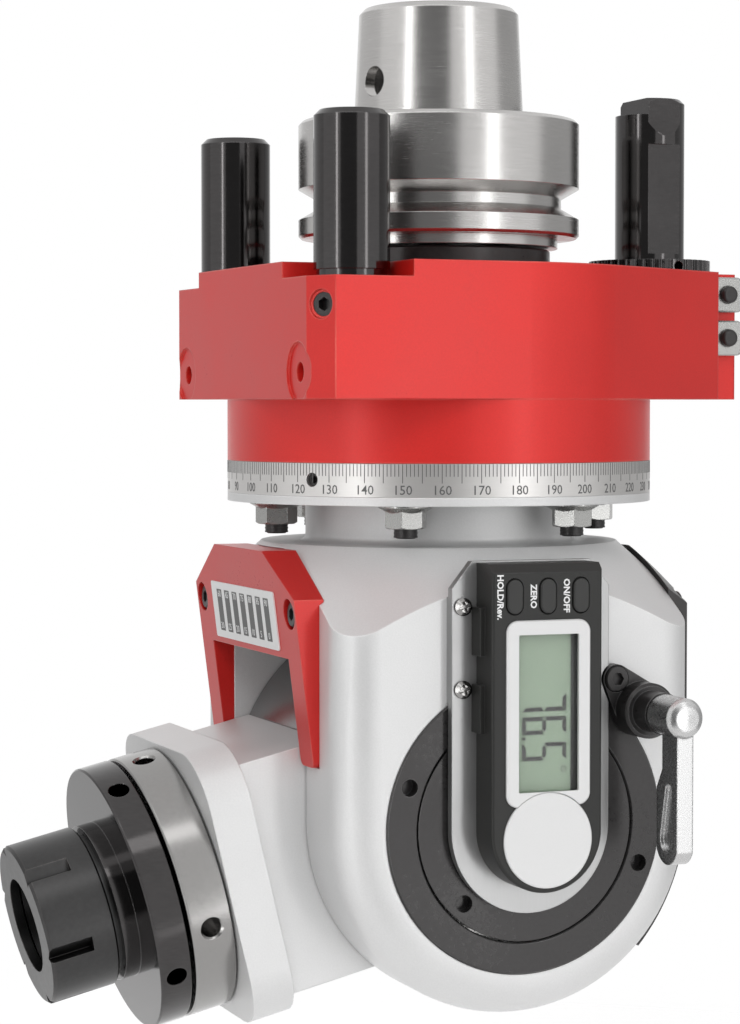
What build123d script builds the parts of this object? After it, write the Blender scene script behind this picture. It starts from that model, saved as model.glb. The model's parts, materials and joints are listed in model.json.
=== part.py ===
from build123d import *
import os
from math import acos, asin, atan, atan2, cos, degrees, hypot, pi, radians, sin, sqrt, tan

# Right-angle milling head with a swivelling output spindle.
# Frame: the origin is the middle of the shank's gauge face, +Z runs up the shank towards the
# machine, -Y is the side with the angle display, and the output spindle points to -X.
# All lengths are millimetres and all angles degrees.

# Fits
PRESS_GAP = 0.02
RUN_GAP = 0.05
SLIDE_GAP = 0.2
AIR_GAP = 0.5

# Hollow taper shank
taper_d = 38.0
taper_length = 25.0
taper_rate = 9.98
shank_flange_d = 63.0
shank_flange_height = 26.1
groove_middle = 18.45
groove_width = 6.9
groove_depth = 4.0
groove_flank_angle = 30.0
gripper_mouth_d = 29.0
gripper_d = 32.0
gripper_lip = 9.0
gripper_depth = 24.0
access_hole_d = 6.7
access_hole_height = 8.0
access_hole_polar = 196.6
shank_neck_d = 53.4
shank_neck_height = 2.2
shaft_collar_d = 30.0
shaft_d = 25.0
pinion_seat_d = 12.0

# T-slot, studs and nuts that lock the swivelling neck
stud_count = 6
stud_first_polar = -3.2
stud_d = 5.0
stud_head_d = 9.6
stud_head_height = 4.0
stud_end = -91.6
slot_neck_height = 4.0
nut_across_flats = 8.0
nut_flange_d = 11.8
nut_flange_height = 1.2
nut_height = 5.0
nut_room = 2.1
neck_d = 60.0
stud_circle_d = neck_d + nut_flange_d + 2 * nut_room
slot_wall = 4.7

# Stop block and its pins, turned as one on the neck
stop_turn = 1.4
block_top = -33.2
block_bottom = -62.0
spigot_d = stud_circle_d + stud_head_d + 2 * slot_wall
spigot_bottom = -75.5
block_half_y = 47.6
block_left_x = -47.8
corner_cut_x = 3.6
corner_cut_y = 7.2
right_flank_angle = 28.7
block_right_x = 59.8
tongue_end_x = 70.0
tongue_width = 24.0
tongue_split = 2.0
pin_d = 16.0
pin_circle_d = 100.4
pin_polar = 135.2
pin_top = -2.0
pin_foot = -58.0
pin_notch_depth = 3.5
pin_notch_reach_x = 26.8
pin_notch_reach_y = 26.5
pin_neck = 0.6
index_pin_x = 53.7
index_pin_top = 7.2
index_pin_step = 3.5
index_pin_step_reach = 4.0
index_flat_reach = 6.9
index_flat_top = -3.4
index_flat_foot = -28.4
index_dimple_low = -2.0
index_dimple_high = 1.6
pin_collar_d = 28.0
pin_collar_height = 3.2
pin_collar_flutes = 44
grub_d = 5.0
grub_recess_d = 6.1
grub_recess_depth = 1.2
grub_height = -42.6
side_hole_d = 4.2
side_hole_y = 35.4
side_hole_z = -56.4
side_face_d = 12.6
side_face_depth = 0.6
pad_size = 8.0
pad_thickness = 3.0
pad_x = 66.0
pad_heights = (-38.0, -47.9)
pad_screw_d = 4.0

# Neck of the housing
quill_d = 58.0
quill_top = -35.2
neck_flange_bottom = -84.5
neck_rim_height = 1.9
scale_ring_d = spigot_d
scale_ring_wall = 5.0
scale_screw_d = 3.0
scale_screw_polar = 213.0
shoulder_z = -93.5
shoulder_flat_r = 40.0
shoulder_slope = 42.0
neck_fillet = 1.5

# Housing body
tilt_axis_z = -151.8
body_half_x = 41.0
front_y = 47.5
body_edge = 8.5
slot_half = 25.5
drum_clear_d = 82.6
rest_tilt = 76.5
tilt_low = 0.0
tilt_high = 100.0
pivot_ring_d = 63.0
pivot_ring_bore = 49.4
pivot_ring_depth = 4.5
pivot_ring_proud = 0.5
pivot_disc_d = 48.8
pivot_hole_d = 3.6
pivot_ring_hole_r = 28.0
pivot_disc_hole_r = 21.0
trunnion_d = 40.0
trunnion_shoulder_d = 43.2
trunnion_bore = 33.0
tilt_bearing_d = 52.0
tilt_bearing_width = 7.0
cheek_bore = 44.0

# Bearings of the shafts
input_bearing_d = 47.0
input_bearing_width = 12.0
input_bearing_top = -40.0
lower_bearing_top = -97.0
spindle_bearing_d = 42.0
spindle_bearing_bore = 20.0
spindle_bearing_width = 12.0
spindle_bearing_first = 34.0
spindle_bearing_second = 48.0
ball_d = 6.35
ball_count = 9
idler_bearing_d = 26.0
idler_bearing_bore = 10.0
idler_bearing_width = 8.0
race_wall = 4.0
bearing_cap_d = 50.0
bearing_cap_top = -28.7
seal_d = 38.0
seal_width = 6.0

# Bevel gears, which share one apex on the tilt axis
pinion_teeth = 18
idler_teeth = 30
cone_distance = 30.0
face_width = 9.0
pressure_angle = 20.0
tooth_fill = 0.92
addendum = 1.0
dedendum = 1.22
pinion_hub_d = 19.0
pinion_hub_end = 33.0
idler_back = 19.4

# Output arm
drum_d = 81.0
drum_half = 25.0
drum_wall = 5.0
drum_cavity_half = 20.0
arm_height = 51.0
flange_size = 60.0
flange_corner = 12.0
flange_back = 52.0
flange_front = 61.2
bearing_nut_d = 58.0
bearing_nut_front = 70.8
spanner_ring_back = 71.6
spanner_ring_front = 78.7
spanner_ring_hub_d = 34.4
spanner_ring_hub_front = 82.2
spanner_hole_d = 4.5
spanner_hole_depth = 8.0
spanner_hole_polar = 61.3
nut_hole_d = 4.2
nut_hole_polar = 79.0
collet_nut_d = 35.0
collet_nut_back = 83.6
collet_nut_front = 98.4
collet_nut_mouth_d = 20.6
collet_nut_slots = 6
collet_slot_length = 9.5
collet_slot_depth = 2.2
nose_thread_d = 30.0
nose_front = 95.4
collet_mouth_d = 25.6
collet_taper_angle = 8.0
collet_taper_length = 27.0
spindle_bore_d = 14.0

# Guard over the arm's slot and its angle label
guard_half = 33.4
guard_top = -94.5
guard_top_half = 16.2
guard_shoulder = -104.0
guard_foot = -139.5
guard_top_reach = 6.9
guard_foot_reach = 1.2
guard_window_top = -117.0
guard_window_half = 25.6
guard_pocket = 1.0
guard_screw_y = 29.4
guard_screw_z = -107.2
guard_bore_d = 6.6
guard_screw_seat = 1.8
label_width = 42.4
label_height = 12.7
label_middle_z = -109.3
label_thickness = 0.3

# Cover on the side away from the arm
cover_reach = 4.6
cover_top = -95.0
cover_end_angle = 42.0
cover_rise = 1.5
cover_seat = 1.4
cover_screw_drop = 8.0
plate_screw_reach = 7.0

# Angle display
bracket_half = 18.0
bracket_back = 48.3
bracket_front = 50.4
bracket_top = -95.6
bracket_corner = 5.6
bracket_screw_x = -15.6
bracket_screw_heights = (-105.0, -122.2)
case_half = 12.5
case_front = 58.6
case_top = -95.9
case_wall = 1.6
case_bevel = 1.8
ledge_heights = (-110.0, -126.0)
ledge_depth = 4.5
ledge_reach = 1.1
window_width = 13.6
window_height = 32.6
window_middle_z = -126.8
bezel_width = 19.0
bezel_height = 38.6
bezel_thickness = 0.7
glass_thickness = 1.0
badge_r = 10.0
badge_z = -153.2
badge_thickness = 0.6
button_width = 3.6
button_length = 7.2
button_z = -102.6
button_pitch = 7.5
button_proud = 0.5
button_travel = 0.6
encoder_d = 6.0
coin_cell_d = 16.0
coin_cell_thickness = 1.6

# Clamp of the tilt joint
clamp_x = 25.5
clamp_z = -127.8
link_screw_x = 19.8
link_screw_z = -121.2
link_thickness = 2.4
link_end_r = 3.1
clamp_boss_d = 11.8
clamp_boss_front = 55.5
clamp_sleeve_d = 8.8
clamp_sleeve_front = 61.3
clamp_stud_d = 6.0
lever_hub_d = 8.4
lever_hub_back = 61.7
lever_hub_front = 72.0
lever_stud_reach = 5.0
lever_width = 3.7
lever_offset = 0.3
lever_back = 61.2
lever_waist_back = 63.6
lever_front = 70.3
lever_end_z = -158.7
lever_pocket_depth = 0.8

# Small fasteners
m3_d = 3.0
m3_head_d = 5.4
m3_head_height = 3.0
m3_hex = 2.5


def turned(points):
    """Solid of revolution about Z from (radius, height) points."""
    return revolve(Plane.XZ * make_face(Polyline(*[(r, z) for r, z in points], close=True)), Axis.Z)


def rod(diameter, low, high):
    """Round bar about Z between two heights."""
    return Pos(0, 0, (low + high) / 2) * Cylinder(diameter / 2, high - low)


def tube(outer_d, inner_d, low, high):
    """Round tube about Z between two heights."""
    return rod(outer_d, low, high) - rod(inner_d, low - 1, high + 1)


def block(x_low, x_high, y_low, y_high, z_low, z_high):
    """Rectangular block from its low and high corners."""
    middle = Pos((x_low + x_high) / 2, (y_low + y_high) / 2, (z_low + z_high) / 2)
    return middle * Box(x_high - x_low, y_high - y_low, z_high - z_low)


def polar(radius, angle, height=0.0):
    """Position at a radius and polar angle about Z."""
    return Pos(radius * cos(radians(angle)), radius * sin(radians(angle)), height)


def at_tilt_axis(shape):
    """Moves a shape whose local Z points out of the display side onto the tilt axis."""
    return Pos(0, 0, tilt_axis_z) * Rot(90, 0, 0) * shape


def on_front(x, z, depth=0.0):
    """Place on the display side, with local Z pointing out of the housing and 0 at that depth."""
    return Pos(x, -depth, z) * Rot(90, 0, 0)


def arm_plane():
    """Frame of the output arm at rest: Z along the arm, Y towards the display side."""
    along = (-sin(radians(rest_tilt)), 0, -cos(radians(rest_tilt)))
    return Plane(origin=(0, 0, tilt_axis_z), x_dir=(-along[2], 0, along[0]), z_dir=along)


def on_arm(shape):
    """Moves a shape from the arm's own frame to its place at rest."""
    return arm_plane().location * shape


def together(shapes):
    """Several separate solids in one node."""
    return Compound(children=list(shapes))


def socket_screw(length, head_d=m3_head_d, head_height=m3_head_height, thread_d=m3_d, hexagon=m3_hex):
    """Socket cap screw along Z, with the underside of its head at 0 and its head above."""
    head = rod(head_d, 0, head_height)
    head = chamfer(head.edges().sort_by(Axis.Z)[-1], 0.3)
    outline = RegularPolygon(hexagon / 2, 6, major_radius=False)
    socket = Pos(0, 0, head_height * 0.4) * extrude(outline, head_height)
    return head + rod(thread_d, -length, 0) - socket


def race_pair(outer_d, bore, width, low):
    """Outer and inner ring of a ball bearing, with its low face at a height."""
    middle_d = (outer_d + bore) / 2
    middle = low + width / 2
    gap = ball_track_gap(outer_d, bore)
    groove = Pos(0, 0, middle) * Torus(middle_d / 2, (ball_size(outer_d, bore) / 2 + RUN_GAP))
    outer = tube(outer_d - 2 * PRESS_GAP, middle_d + gap, low, low + width) - groove
    inner = tube(middle_d - gap, bore + 2 * PRESS_GAP, low, low + width) - groove
    return outer, inner


def ball_size(outer_d, bore):
    """Ball diameter that suits the space between two rings."""
    return 0.6 * (outer_d - bore) / 2


def ball_track_gap(outer_d, bore):
    """Difference between the inner ring's outside and the middle of the balls, doubled."""
    return 0.55 * ball_size(outer_d, bore)


# Stop block group


def at_stop(shape):
    """Turns a piece of the stop block group about the neck to its place."""
    return Rot(0, 0, stop_turn) * shape


def flank_points():
    """Corners of the stop block's right half, where its flanks leave its round front."""
    radius = block_half_y
    turn = radians(right_flank_angle)
    touch = (radius * sin(turn), radius * cos(turn))
    run = (block_right_x - touch[0]) / cos(turn)
    return touch, (block_right_x, touch[1] - run * sin(turn))


def block_outline():
    """Outline of the stop block seen from above."""
    radius = block_half_y
    touch, corner = flank_points()
    arc_middle = (radius * sin(radians(right_flank_angle / 2)), radius * cos(radians(right_flank_angle / 2)))
    left = block_left_x
    upper = [
        Line((left, 0), (left, radius - corner_cut_y)),
        Line((left, radius - corner_cut_y), (left + corner_cut_x, radius)),
        Line((left + corner_cut_x, radius), (0, radius)),
        ThreePointArc((0, radius), arc_middle, touch),
        Line(touch, corner),
        Line(corner, (block_right_x, 0)),
    ]
    half = make_face(upper + [Line((block_right_x, 0), (left, 0))])
    return half + mirror(half, Plane.XZ)


def stop_block():
    """Red block that holds the torque pins and carries the swivelling neck in its T-slot."""
    body = Pos(0, 0, block_bottom) * extrude(block_outline(), block_top - block_bottom)
    half = tongue_width / 2
    tongue = block(block_right_x - 20, tongue_end_x, -half, half, block_bottom, block_top)
    body = body + tongue + rod(spigot_d, spigot_bottom, block_bottom + 2)
    corners = body.edges().filter_by(Axis.Z).filter_by_position(Axis.X, tongue_end_x - 0.1, tongue_end_x + 0.1)
    body = fillet(corners, 1.0)
    for side in (1, -1):
        notch_low = min(side * pin_notch_reach_y, side * spigot_d)
        notch_high = max(side * pin_notch_reach_y, side * spigot_d)
        floor = block_top - pin_notch_depth
        body = body - block(block_left_x - 1, -pin_notch_reach_x, notch_low, notch_high, floor, block_top + 1)
        seat = rod(pin_d + 2 * PRESS_GAP, pin_foot, block_top + 1)
        body = body - polar(pin_circle_d / 2, side * pin_polar) * seat
        face = Pos(block_left_x, side * side_hole_y, side_hole_z) * Rot(0, -90, 0)
        body = body - face * rod(side_face_d, -side_face_depth, 1) - face * rod(side_hole_d, -11, 1)
        body = body - grub_place(side) * (rod(grub_d, -13, 2) + rod(grub_recess_d, -grub_recess_depth, 2))
    body = body - Pos(index_pin_x, 0, 0) * rod(pin_d + 2 * PRESS_GAP, pin_foot, block_top + 1)
    split = tongue_split / 2
    body = body - block(index_pin_x, tongue_end_x + 1, -split, split, block_bottom - 1, block_top + 1)
    for height in pad_heights:
        cross = rod(pad_screw_d + 2 * PRESS_GAP, -tongue_width / 2 - 1, tongue_width / 2 + 1)
        body = body - Pos(pad_x, 0, height) * Rot(90, 0, 0) * cross
    bore = rod(quill_d + 2 * RUN_GAP, spigot_bottom - 1, block_top + 1)
    middle = stud_circle_d / 2
    head_floor = spigot_bottom + slot_neck_height
    neck_half = stud_d / 2 + AIR_GAP
    head_half = stud_head_d / 2 + AIR_GAP
    neck = tube(2 * (middle + neck_half), 2 * (middle - neck_half), spigot_bottom - 1, head_floor + 0.01)
    head_top = head_floor + stud_head_height + AIR_GAP
    room = tube(2 * (middle + head_half), 2 * (middle - head_half), head_floor, head_top)
    return at_stop(body - bore - neck - room)


def grub_place(side):
    """Place on a corner facet of the stop block, with local Z pointing out of it."""
    x = block_left_x + corner_cut_x / 2
    y = side * (block_half_y - corner_cut_y / 2)
    pin_x = pin_circle_d / 2 * cos(radians(pin_polar))
    pin_y = side * pin_circle_d / 2 * sin(radians(pin_polar))
    heading = degrees(atan2(y - pin_y, x - pin_x))
    return Pos(x, y, grub_height) * Rot(0, 0, heading) * Rot(0, 90, 0)


def torque_pin(side):
    """Plain pin that stops the block from turning with the spindle."""
    pin = rod(pin_d, pin_foot, pin_top)
    pin = chamfer(pin.edges().sort_by(Axis.Z)[-1], 1.2)
    foot = block_top - pin_notch_depth
    groove = tube(pin_d + 2, pin_d - 2 * pin_neck, foot, foot + 1.6)
    return at_stop(polar(pin_circle_d / 2, side * pin_polar) * (pin - groove))


def index_pin():
    """Pin with a flat, which locates the head in the machine's stop."""
    radius = pin_d / 2
    pin = rod(pin_d, pin_foot, index_pin_top)
    pin = chamfer(pin.edges().sort_by(Axis.Z)[-1], 1.0)
    step = block(-pin_d, -index_pin_step_reach, -pin_d, pin_d, index_pin_step, index_pin_top + 1)
    flat = block(-pin_d, pin_d, -pin_d, -index_flat_reach, index_flat_foot, index_flat_top)
    face = block(-pin_d, pin_d, -pin_d, -index_flat_reach, index_dimple_high, index_pin_top + 1)
    ramp = Plane.YZ * make_face(Polyline(
        (-radius - 0.2, index_dimple_low), (-index_flat_reach, index_dimple_high),
        (-radius - 0.2, index_dimple_high), close=True))
    ramp = extrude(ramp, radius, both=True)
    return at_stop(Pos(index_pin_x, 0, 0) * (pin - step - flat - face - ramp))


def pin_collar():
    """Fluted ring at the foot of the index pin."""
    body = tube(pin_collar_d, pin_d + 2 * PRESS_GAP, block_top, block_top + pin_collar_height)
    flute = rod(1.1, block_top - 1, block_top + pin_collar_height + 1)
    turns = [360 * n / pin_collar_flutes for n in range(pin_collar_flutes)]
    flutes = [polar(pin_collar_d / 2 + 0.2, turn) * flute for turn in turns]
    across = Pos(0, 0, block_top + pin_collar_height / 2) * Rot(90, 0, 20)
    body = body - flutes - across * rod(2.2, pin_d / 2 - 1, pin_collar_d)
    return at_stop(Pos(index_pin_x, 0, 0) * body)


def pin_grub_screws():
    """Grub screws that hold the two torque pins."""
    low = RUN_GAP - grub_room()
    high = -grub_recess_depth - 0.2
    screw = rod(grub_d - 2 * PRESS_GAP, low, high)
    screw = screw - Pos(0, 0, high - 2.2) * extrude(RegularPolygon(m3_hex / 2, 6, major_radius=False), 4)
    return together([at_stop(grub_place(side) * screw) for side in (1, -1)])


def grub_room():
    """Distance from a corner facet to the torque pin behind it."""
    x = block_left_x + corner_cut_x / 2
    y = block_half_y - corner_cut_y / 2
    pin_x = pin_circle_d / 2 * cos(radians(pin_polar))
    pin_y = pin_circle_d / 2 * sin(radians(pin_polar))
    return hypot(x - pin_x, y - pin_y) - pin_d / 2


def clamp_pads():
    """Square plates under the clamp screws of the split tongue."""
    face = tongue_width / 2
    plate = extrude(RectangleRounded(pad_size, pad_size, 1.4), pad_thickness)
    plate = chamfer(plate.faces().sort_by(Axis.Z)[-1].edges(), 0.4)
    plate = plate - rod(pad_screw_d + 2 * PRESS_GAP, -1, pad_thickness + 1)
    return together([at_stop(on_front(pad_x, height, face) * plate) for height in pad_heights])


def pad_screws():
    """Clamp screws that draw the split tongue round the index pin."""
    length = tongue_width + pad_thickness + 1.6
    screw = rod(pad_screw_d, -length + pad_thickness + 1.6, pad_thickness + 1.6)
    screw = fillet(screw.edges().sort_by(Axis.Z)[-1], 0.8)
    return together([at_stop(on_front(pad_x, height, tongue_width / 2) * screw) for height in pad_heights])


# Housing group


def cone_top():
    """Everything under the turned shoulder of the housing, as a solid of revolution."""
    reach = 80.0
    drop = (reach - shoulder_flat_r) * tan(radians(shoulder_slope))
    floor = tilt_axis_z - body_half_x - 10
    rim = [(reach, floor), (reach, shoulder_z - drop), (shoulder_flat_r, shoulder_z)]
    return turned([(0, floor)] + rim + [(0, shoulder_z)])


def body_blank():
    """Square body with a half-round foot about the tilt axis and rounded long edges."""
    radius = body_half_x
    top = shoulder_z + 5
    outline = make_face([
        Line((-radius, tilt_axis_z), (-radius, top)),
        Line((-radius, top), (radius, top)),
        Line((radius, top), (radius, tilt_axis_z)),
        ThreePointArc((radius, tilt_axis_z), (0, tilt_axis_z - radius), (-radius, tilt_axis_z)),
    ])
    solid = extrude(Plane.XZ * outline, front_y, both=True)
    rims = [e for e in solid.edges() if abs(abs(e.center().Y) - front_y) < 0.01 and e.center().Z < top - 0.1]
    solid = fillet(rims, body_edge)
    return solid & cone_top()


def swing_room():
    """Space that the drum and the arm sweep between the two cheeks."""
    height = arm_height / 2 + 0.8
    up = radians(tilt_high - 90)
    foot = (height * sin(up), height * cos(up))
    far = (foot[0] - 90 * cos(up), foot[1] + 90 * sin(up))
    side = make_face(Polyline((0, 0), foot, far, (far[0], -90), (0, -90), close=True))
    swept = extrude(side, slot_half, both=True)
    return at_tilt_axis(swept + rod(drum_clear_d, -slot_half, slot_half))


def housing():
    """Cast housing: quill, neck flange, neck, shoulder and the two cheeks of the fork."""
    body = body_blank()
    neck = turned([
        (0, shoulder_z - 2), (neck_d / 2, shoulder_z - 2), (neck_d / 2, neck_flange_bottom),
        (scale_ring_d / 2, neck_flange_bottom), (scale_ring_d / 2, neck_flange_bottom + neck_rim_height),
        (scale_ring_d / 2 - scale_ring_wall - PRESS_GAP, neck_flange_bottom + neck_rim_height),
        (scale_ring_d / 2 - scale_ring_wall - PRESS_GAP, spigot_bottom - RUN_GAP),
        (quill_d / 2, spigot_bottom - RUN_GAP), (quill_d / 2, quill_top), (0, quill_top)])
    body = body + neck
    roots = [e for e in body.edges().filter_by(GeomType.CIRCLE)
             if abs(e.radius - neck_d / 2) < 0.01 and abs(e.center().Z - shoulder_z) < 0.1]
    body = fillet(roots, neck_fillet)
    body = body - swing_room()
    body = body - input_bore()
    for side in (1, -1):
        body = body - at_tilt_axis(cheek_bores(side))
    for n in range(stud_count):
        hole = polar(stud_circle_d / 2, stud_first_polar + 360 * n / stud_count)
        body = body - hole * rod(stud_d + 2 * RUN_GAP, neck_flange_bottom - 1, spigot_bottom + 1)
    for x, z in front_screw_points():
        body = body - on_front(x, z, front_y) * rod(m3_d + 2 * PRESS_GAP, -9, 1)
    body = body - on_front(clamp_x, clamp_z, front_y) * rod(clamp_stud_d + 2 * RUN_GAP, -30, 1)
    pocket = Plane.YZ * offset(guard_outline(False), SLIDE_GAP / 2, kind=Kind.INTERSECTION)
    body = body - Pos(-guard_seat() - 20, 0, 0) * extrude(pocket, 20)
    for y in (guard_screw_y, -guard_screw_y):
        body = body - guard_screw_place(y) * rod(m3_d + 2 * PRESS_GAP, -plate_screw_reach - 2, 1)
    for place in cover_screw_places():
        body = body - place * rod(m3_d + 2 * PRESS_GAP, -plate_screw_reach - 2, 1)
    return body


def front_screw_points():
    """Where screws enter the display side of the housing."""
    return [(bracket_screw_x, z) for z in bracket_screw_heights] + [(link_screw_x, link_screw_z)]


def cover_screw_places():
    """Places of the side cover's screws on the housing, with local Z pointing out."""
    heights = (guard_screw_z, tilt_axis_z + cover_screw_drop)
    return [Pos(body_half_x, y, z) * Rot(0, 90, 0) for y in (guard_screw_y, -guard_screw_y) for z in heights]


def input_bore():
    """Bore of the neck for the input shaft, with its bearing seats."""
    seat = input_bearing_d / 2
    ledge = input_bearing_top - 2 * input_bearing_width
    through = seat - 4
    low = tilt_axis_z + 20
    return turned([
        (0, low), (seat, low), (seat, lower_bearing_top), (through, lower_bearing_top),
        (through, ledge), (seat, ledge), (seat, quill_top + 1), (0, quill_top + 1)])


def cheek_bores(side):
    """Bores of one cheek for the trunnion, its bearing and its cap; side is 1 on the display side."""
    seat_in = front_y - pivot_ring_depth - tilt_bearing_width
    bores = rod(cheek_bore, slot_half - 2, front_y + 1)
    bores = bores + rod(tilt_bearing_d, seat_in, front_y + 1)
    bores = bores + rod(pivot_ring_d + 2 * PRESS_GAP, front_y - pivot_ring_depth, front_y + 1)
    return bores if side > 0 else mirror(bores, Plane.XY)


def scale_ring():
    """Ring with the swivel scale, clamped on the neck flange."""
    low = neck_flange_bottom + neck_rim_height + PRESS_GAP
    high = spigot_bottom - RUN_GAP
    ring = tube(scale_ring_d, scale_ring_d - 2 * scale_ring_wall, low, high)
    middle = (low + high) / 2
    hole = rod(scale_screw_d, scale_ring_d / 2 - scale_ring_wall - 1, scale_ring_d / 2 + 1)
    return ring - Pos(0, 0, middle) * Rot(0, 0, scale_screw_polar) * Rot(0, 90, 0) * hole


def scale_ring_screw():
    """Grub screw that holds the scale ring."""
    middle = (neck_flange_bottom + neck_rim_height + spigot_bottom) / 2
    out = scale_ring_d / 2 - 0.8
    screw = rod(scale_screw_d - 2 * PRESS_GAP, scale_ring_d / 2 - scale_ring_wall + PRESS_GAP, out)
    screw = screw - Pos(0, 0, out - 1.4) * extrude(RegularPolygon(0.75, 6, major_radius=False), 3)
    return Pos(0, 0, middle) * Rot(0, 0, scale_screw_polar) * Rot(0, 90, 0) * screw


def clamp_studs():
    """Studs whose heads slide in the stop block's T-slot."""
    head_low = spigot_bottom + slot_neck_height + RUN_GAP
    stud = rod(stud_d, stud_end, head_low) + rod(stud_head_d, head_low, head_low + stud_head_height)
    stud = chamfer(stud.edges().sort_by(Axis.Z)[0], 0.5)
    turns = [stud_first_polar + 360 * n / stud_count for n in range(stud_count)]
    return together([polar(stud_circle_d / 2, turn) * stud for turn in turns])


def flange_nuts():
    """Flange nuts that lock the swivel."""
    top = neck_flange_bottom
    washer = turned([
        (0, top), (nut_flange_d / 2, top), (nut_flange_d / 2, top - 0.5),
        (nut_across_flats / 2, top - nut_flange_height - 0.4), (0, top - nut_flange_height - 0.4)])
    foot = top - nut_height
    hexagon = Pos(0, 0, foot) * extrude(RegularPolygon(nut_across_flats / 2, 6, major_radius=False), nut_height)
    corner = nut_across_flats / sqrt(3)
    rounding = turned([(0, top), (corner + 1, top), (corner + 1, foot + 1), (corner - 0.6, foot), (0, foot)])
    nut = (hexagon & rounding) + washer - rod(stud_d + 2 * PRESS_GAP, foot - 1, top + 1)
    nuts = []
    for n in range(stud_count):
        angle = stud_first_polar + 360 * n / stud_count
        nuts.append(polar(stud_circle_d / 2, angle) * Rot(0, 0, angle + 15 * n) * nut)
    return together(nuts)


def bearing_cap():
    """Cap that holds the upper bearings in the quill and carries the shaft seal."""
    spigot = input_bearing_d - 2 * PRESS_GAP
    bore = shaft_collar_d + 1.2
    rim = bearing_cap_d / 2
    return turned([
        (bore / 2, input_bearing_top), (spigot / 2, input_bearing_top), (spigot / 2, quill_top),
        (rim, quill_top), (rim, bearing_cap_top - 0.4), (rim - 0.4, bearing_cap_top),
        (seal_d / 2, bearing_cap_top), (seal_d / 2, bearing_cap_top - seal_width),
        (bore / 2, bearing_cap_top - seal_width)])


def shaft_seal():
    """Lip seal between the cap and the input shaft."""
    low = bearing_cap_top - seal_width
    high = bearing_cap_top - 0.3
    inner = shaft_collar_d / 2
    outer = seal_d / 2 - PRESS_GAP
    return turned([
        (inner + RUN_GAP, low + 2), (inner + 1.4, low + 0.6), (inner + 2, low), (outer, low), (outer, high),
        (inner + 2, high), (inner + 1.2, low + 3.4), (inner + RUN_GAP, low + 2.6)])


def input_bearing_lows():
    """Low faces of the three bearings of the input shaft."""
    width = input_bearing_width
    return (input_bearing_top - width, input_bearing_top - 2 * width, lower_bearing_top - width)


def input_races(which):
    """Outer (0) or inner (1) rings of the input shaft's bearings."""
    lows = input_bearing_lows()
    return together([race_pair(input_bearing_d, shaft_d, input_bearing_width, low)[which] for low in lows])


def pivot_ring():
    """Black ring that holds the tilt bearing on the display side."""
    low = front_y - pivot_ring_depth
    high = front_y + pivot_ring_proud
    ring = tube(pivot_ring_d, pivot_ring_bore, low, high)
    ring = chamfer(ring.faces().sort_by(Axis.Z)[-1].edges(), 0.3)
    for turn in (160.5, 340.5):
        ring = ring - polar(pivot_ring_hole_r, turn) * rod(pivot_hole_d, high - 3, high + 1)
    return at_tilt_axis(ring)


def pivot_disc():
    """Disc on the arm's trunnion, inside the pivot ring."""
    low = front_y - pivot_ring_depth + 0.3
    high = front_y + pivot_ring_proud - 0.2
    disc = tube(pivot_disc_d, encoder_d + 2 * PRESS_GAP, low, high)
    for turn in (48, 228):
        disc = disc - polar(pivot_disc_hole_r, turn) * rod(pivot_hole_d, high - 2.5, high + 1)
    return at_tilt_axis(disc)


def rear_pivot_cap():
    """Cap on the back of the housing, whose tube carries the idler gear's bearings."""
    low = front_y - pivot_ring_depth
    high = front_y + pivot_ring_proud
    carrier = trunnion_bore - 2 * AIR_GAP
    start = idler_back + 3.6
    cap = rod(pivot_ring_d, low, high) + rod(carrier, start, low + 0.01)
    cap = cap - rod(idler_bearing_d, start - 1, idler_bearing_lows()[1] + idler_bearing_width)
    for turn in (20.0, 200.0):
        cap = cap - polar(pivot_ring_hole_r, turn) * rod(pivot_hole_d, high - 3, high + 1)
    return at_tilt_axis(mirror(cap, Plane.XY))


def tilt_races(which):
    """Outer (0) or inner (1) rings of the two tilt bearings."""
    low = front_y - pivot_ring_depth - tilt_bearing_width
    front = race_pair(tilt_bearing_d, trunnion_d, tilt_bearing_width, low)[which]
    return together([at_tilt_axis(front), at_tilt_axis(mirror(front, Plane.XY))])


def idler_bearing_lows():
    """Distances of the idler's two bearings from the middle of the head."""
    first = idler_back + 4.6
    return (first, first + idler_bearing_width + 2)


def idler_races(which):
    """Outer (0) or inner (1) rings of the idler gear's bearings."""
    rings = []
    for low in idler_bearing_lows():
        ring = race_pair(idler_bearing_d, idler_bearing_bore, idler_bearing_width, low)[which]
        rings.append(at_tilt_axis(mirror(ring, Plane.XY)))
    return together(rings)


def guard_seat():
    """Distance of the guard's back face from the middle of the head."""
    return body_half_x - guard_pocket


def guard_outline(window):
    """Outline of the guard in local (Y, Z), with or without its window."""
    points = [
        (-guard_half, guard_foot), (-guard_half, guard_shoulder), (-guard_top_half, guard_top),
        (guard_top_half, guard_top), (guard_half, guard_shoulder), (guard_half, guard_foot)]
    if window:
        half = guard_window_half
        points = points + [(half, guard_foot), (half, guard_window_top)]
        points = points + [(-half, guard_window_top), (-half, guard_foot)]
    return make_face(Polyline(*points, close=True))


def guard_face():
    """Line of the guard's outer face in (X, Z), from its top to its foot."""
    return (-body_half_x - guard_top_reach, guard_top), (-body_half_x - guard_foot_reach, guard_foot)


def guard_tilt():
    """Lean of the guard's outer face from upright."""
    top, foot = guard_face()
    return degrees(atan2(foot[0] - top[0], top[1] - foot[1]))


def guard_place(y, z, depth=0.0):
    """Place on the guard's outer face, with local Z pointing out of it."""
    top, foot = guard_face()
    share = (top[1] - z) / (top[1] - foot[1])
    x = top[0] + share * (foot[0] - top[0])
    lean = radians(guard_tilt())
    outward = (-cos(lean), 0, -sin(lean))
    plane = Plane(origin=(x, y, z), x_dir=(0, -1, 0), z_dir=outward)
    return plane.location * Pos(0, 0, -depth)


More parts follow.
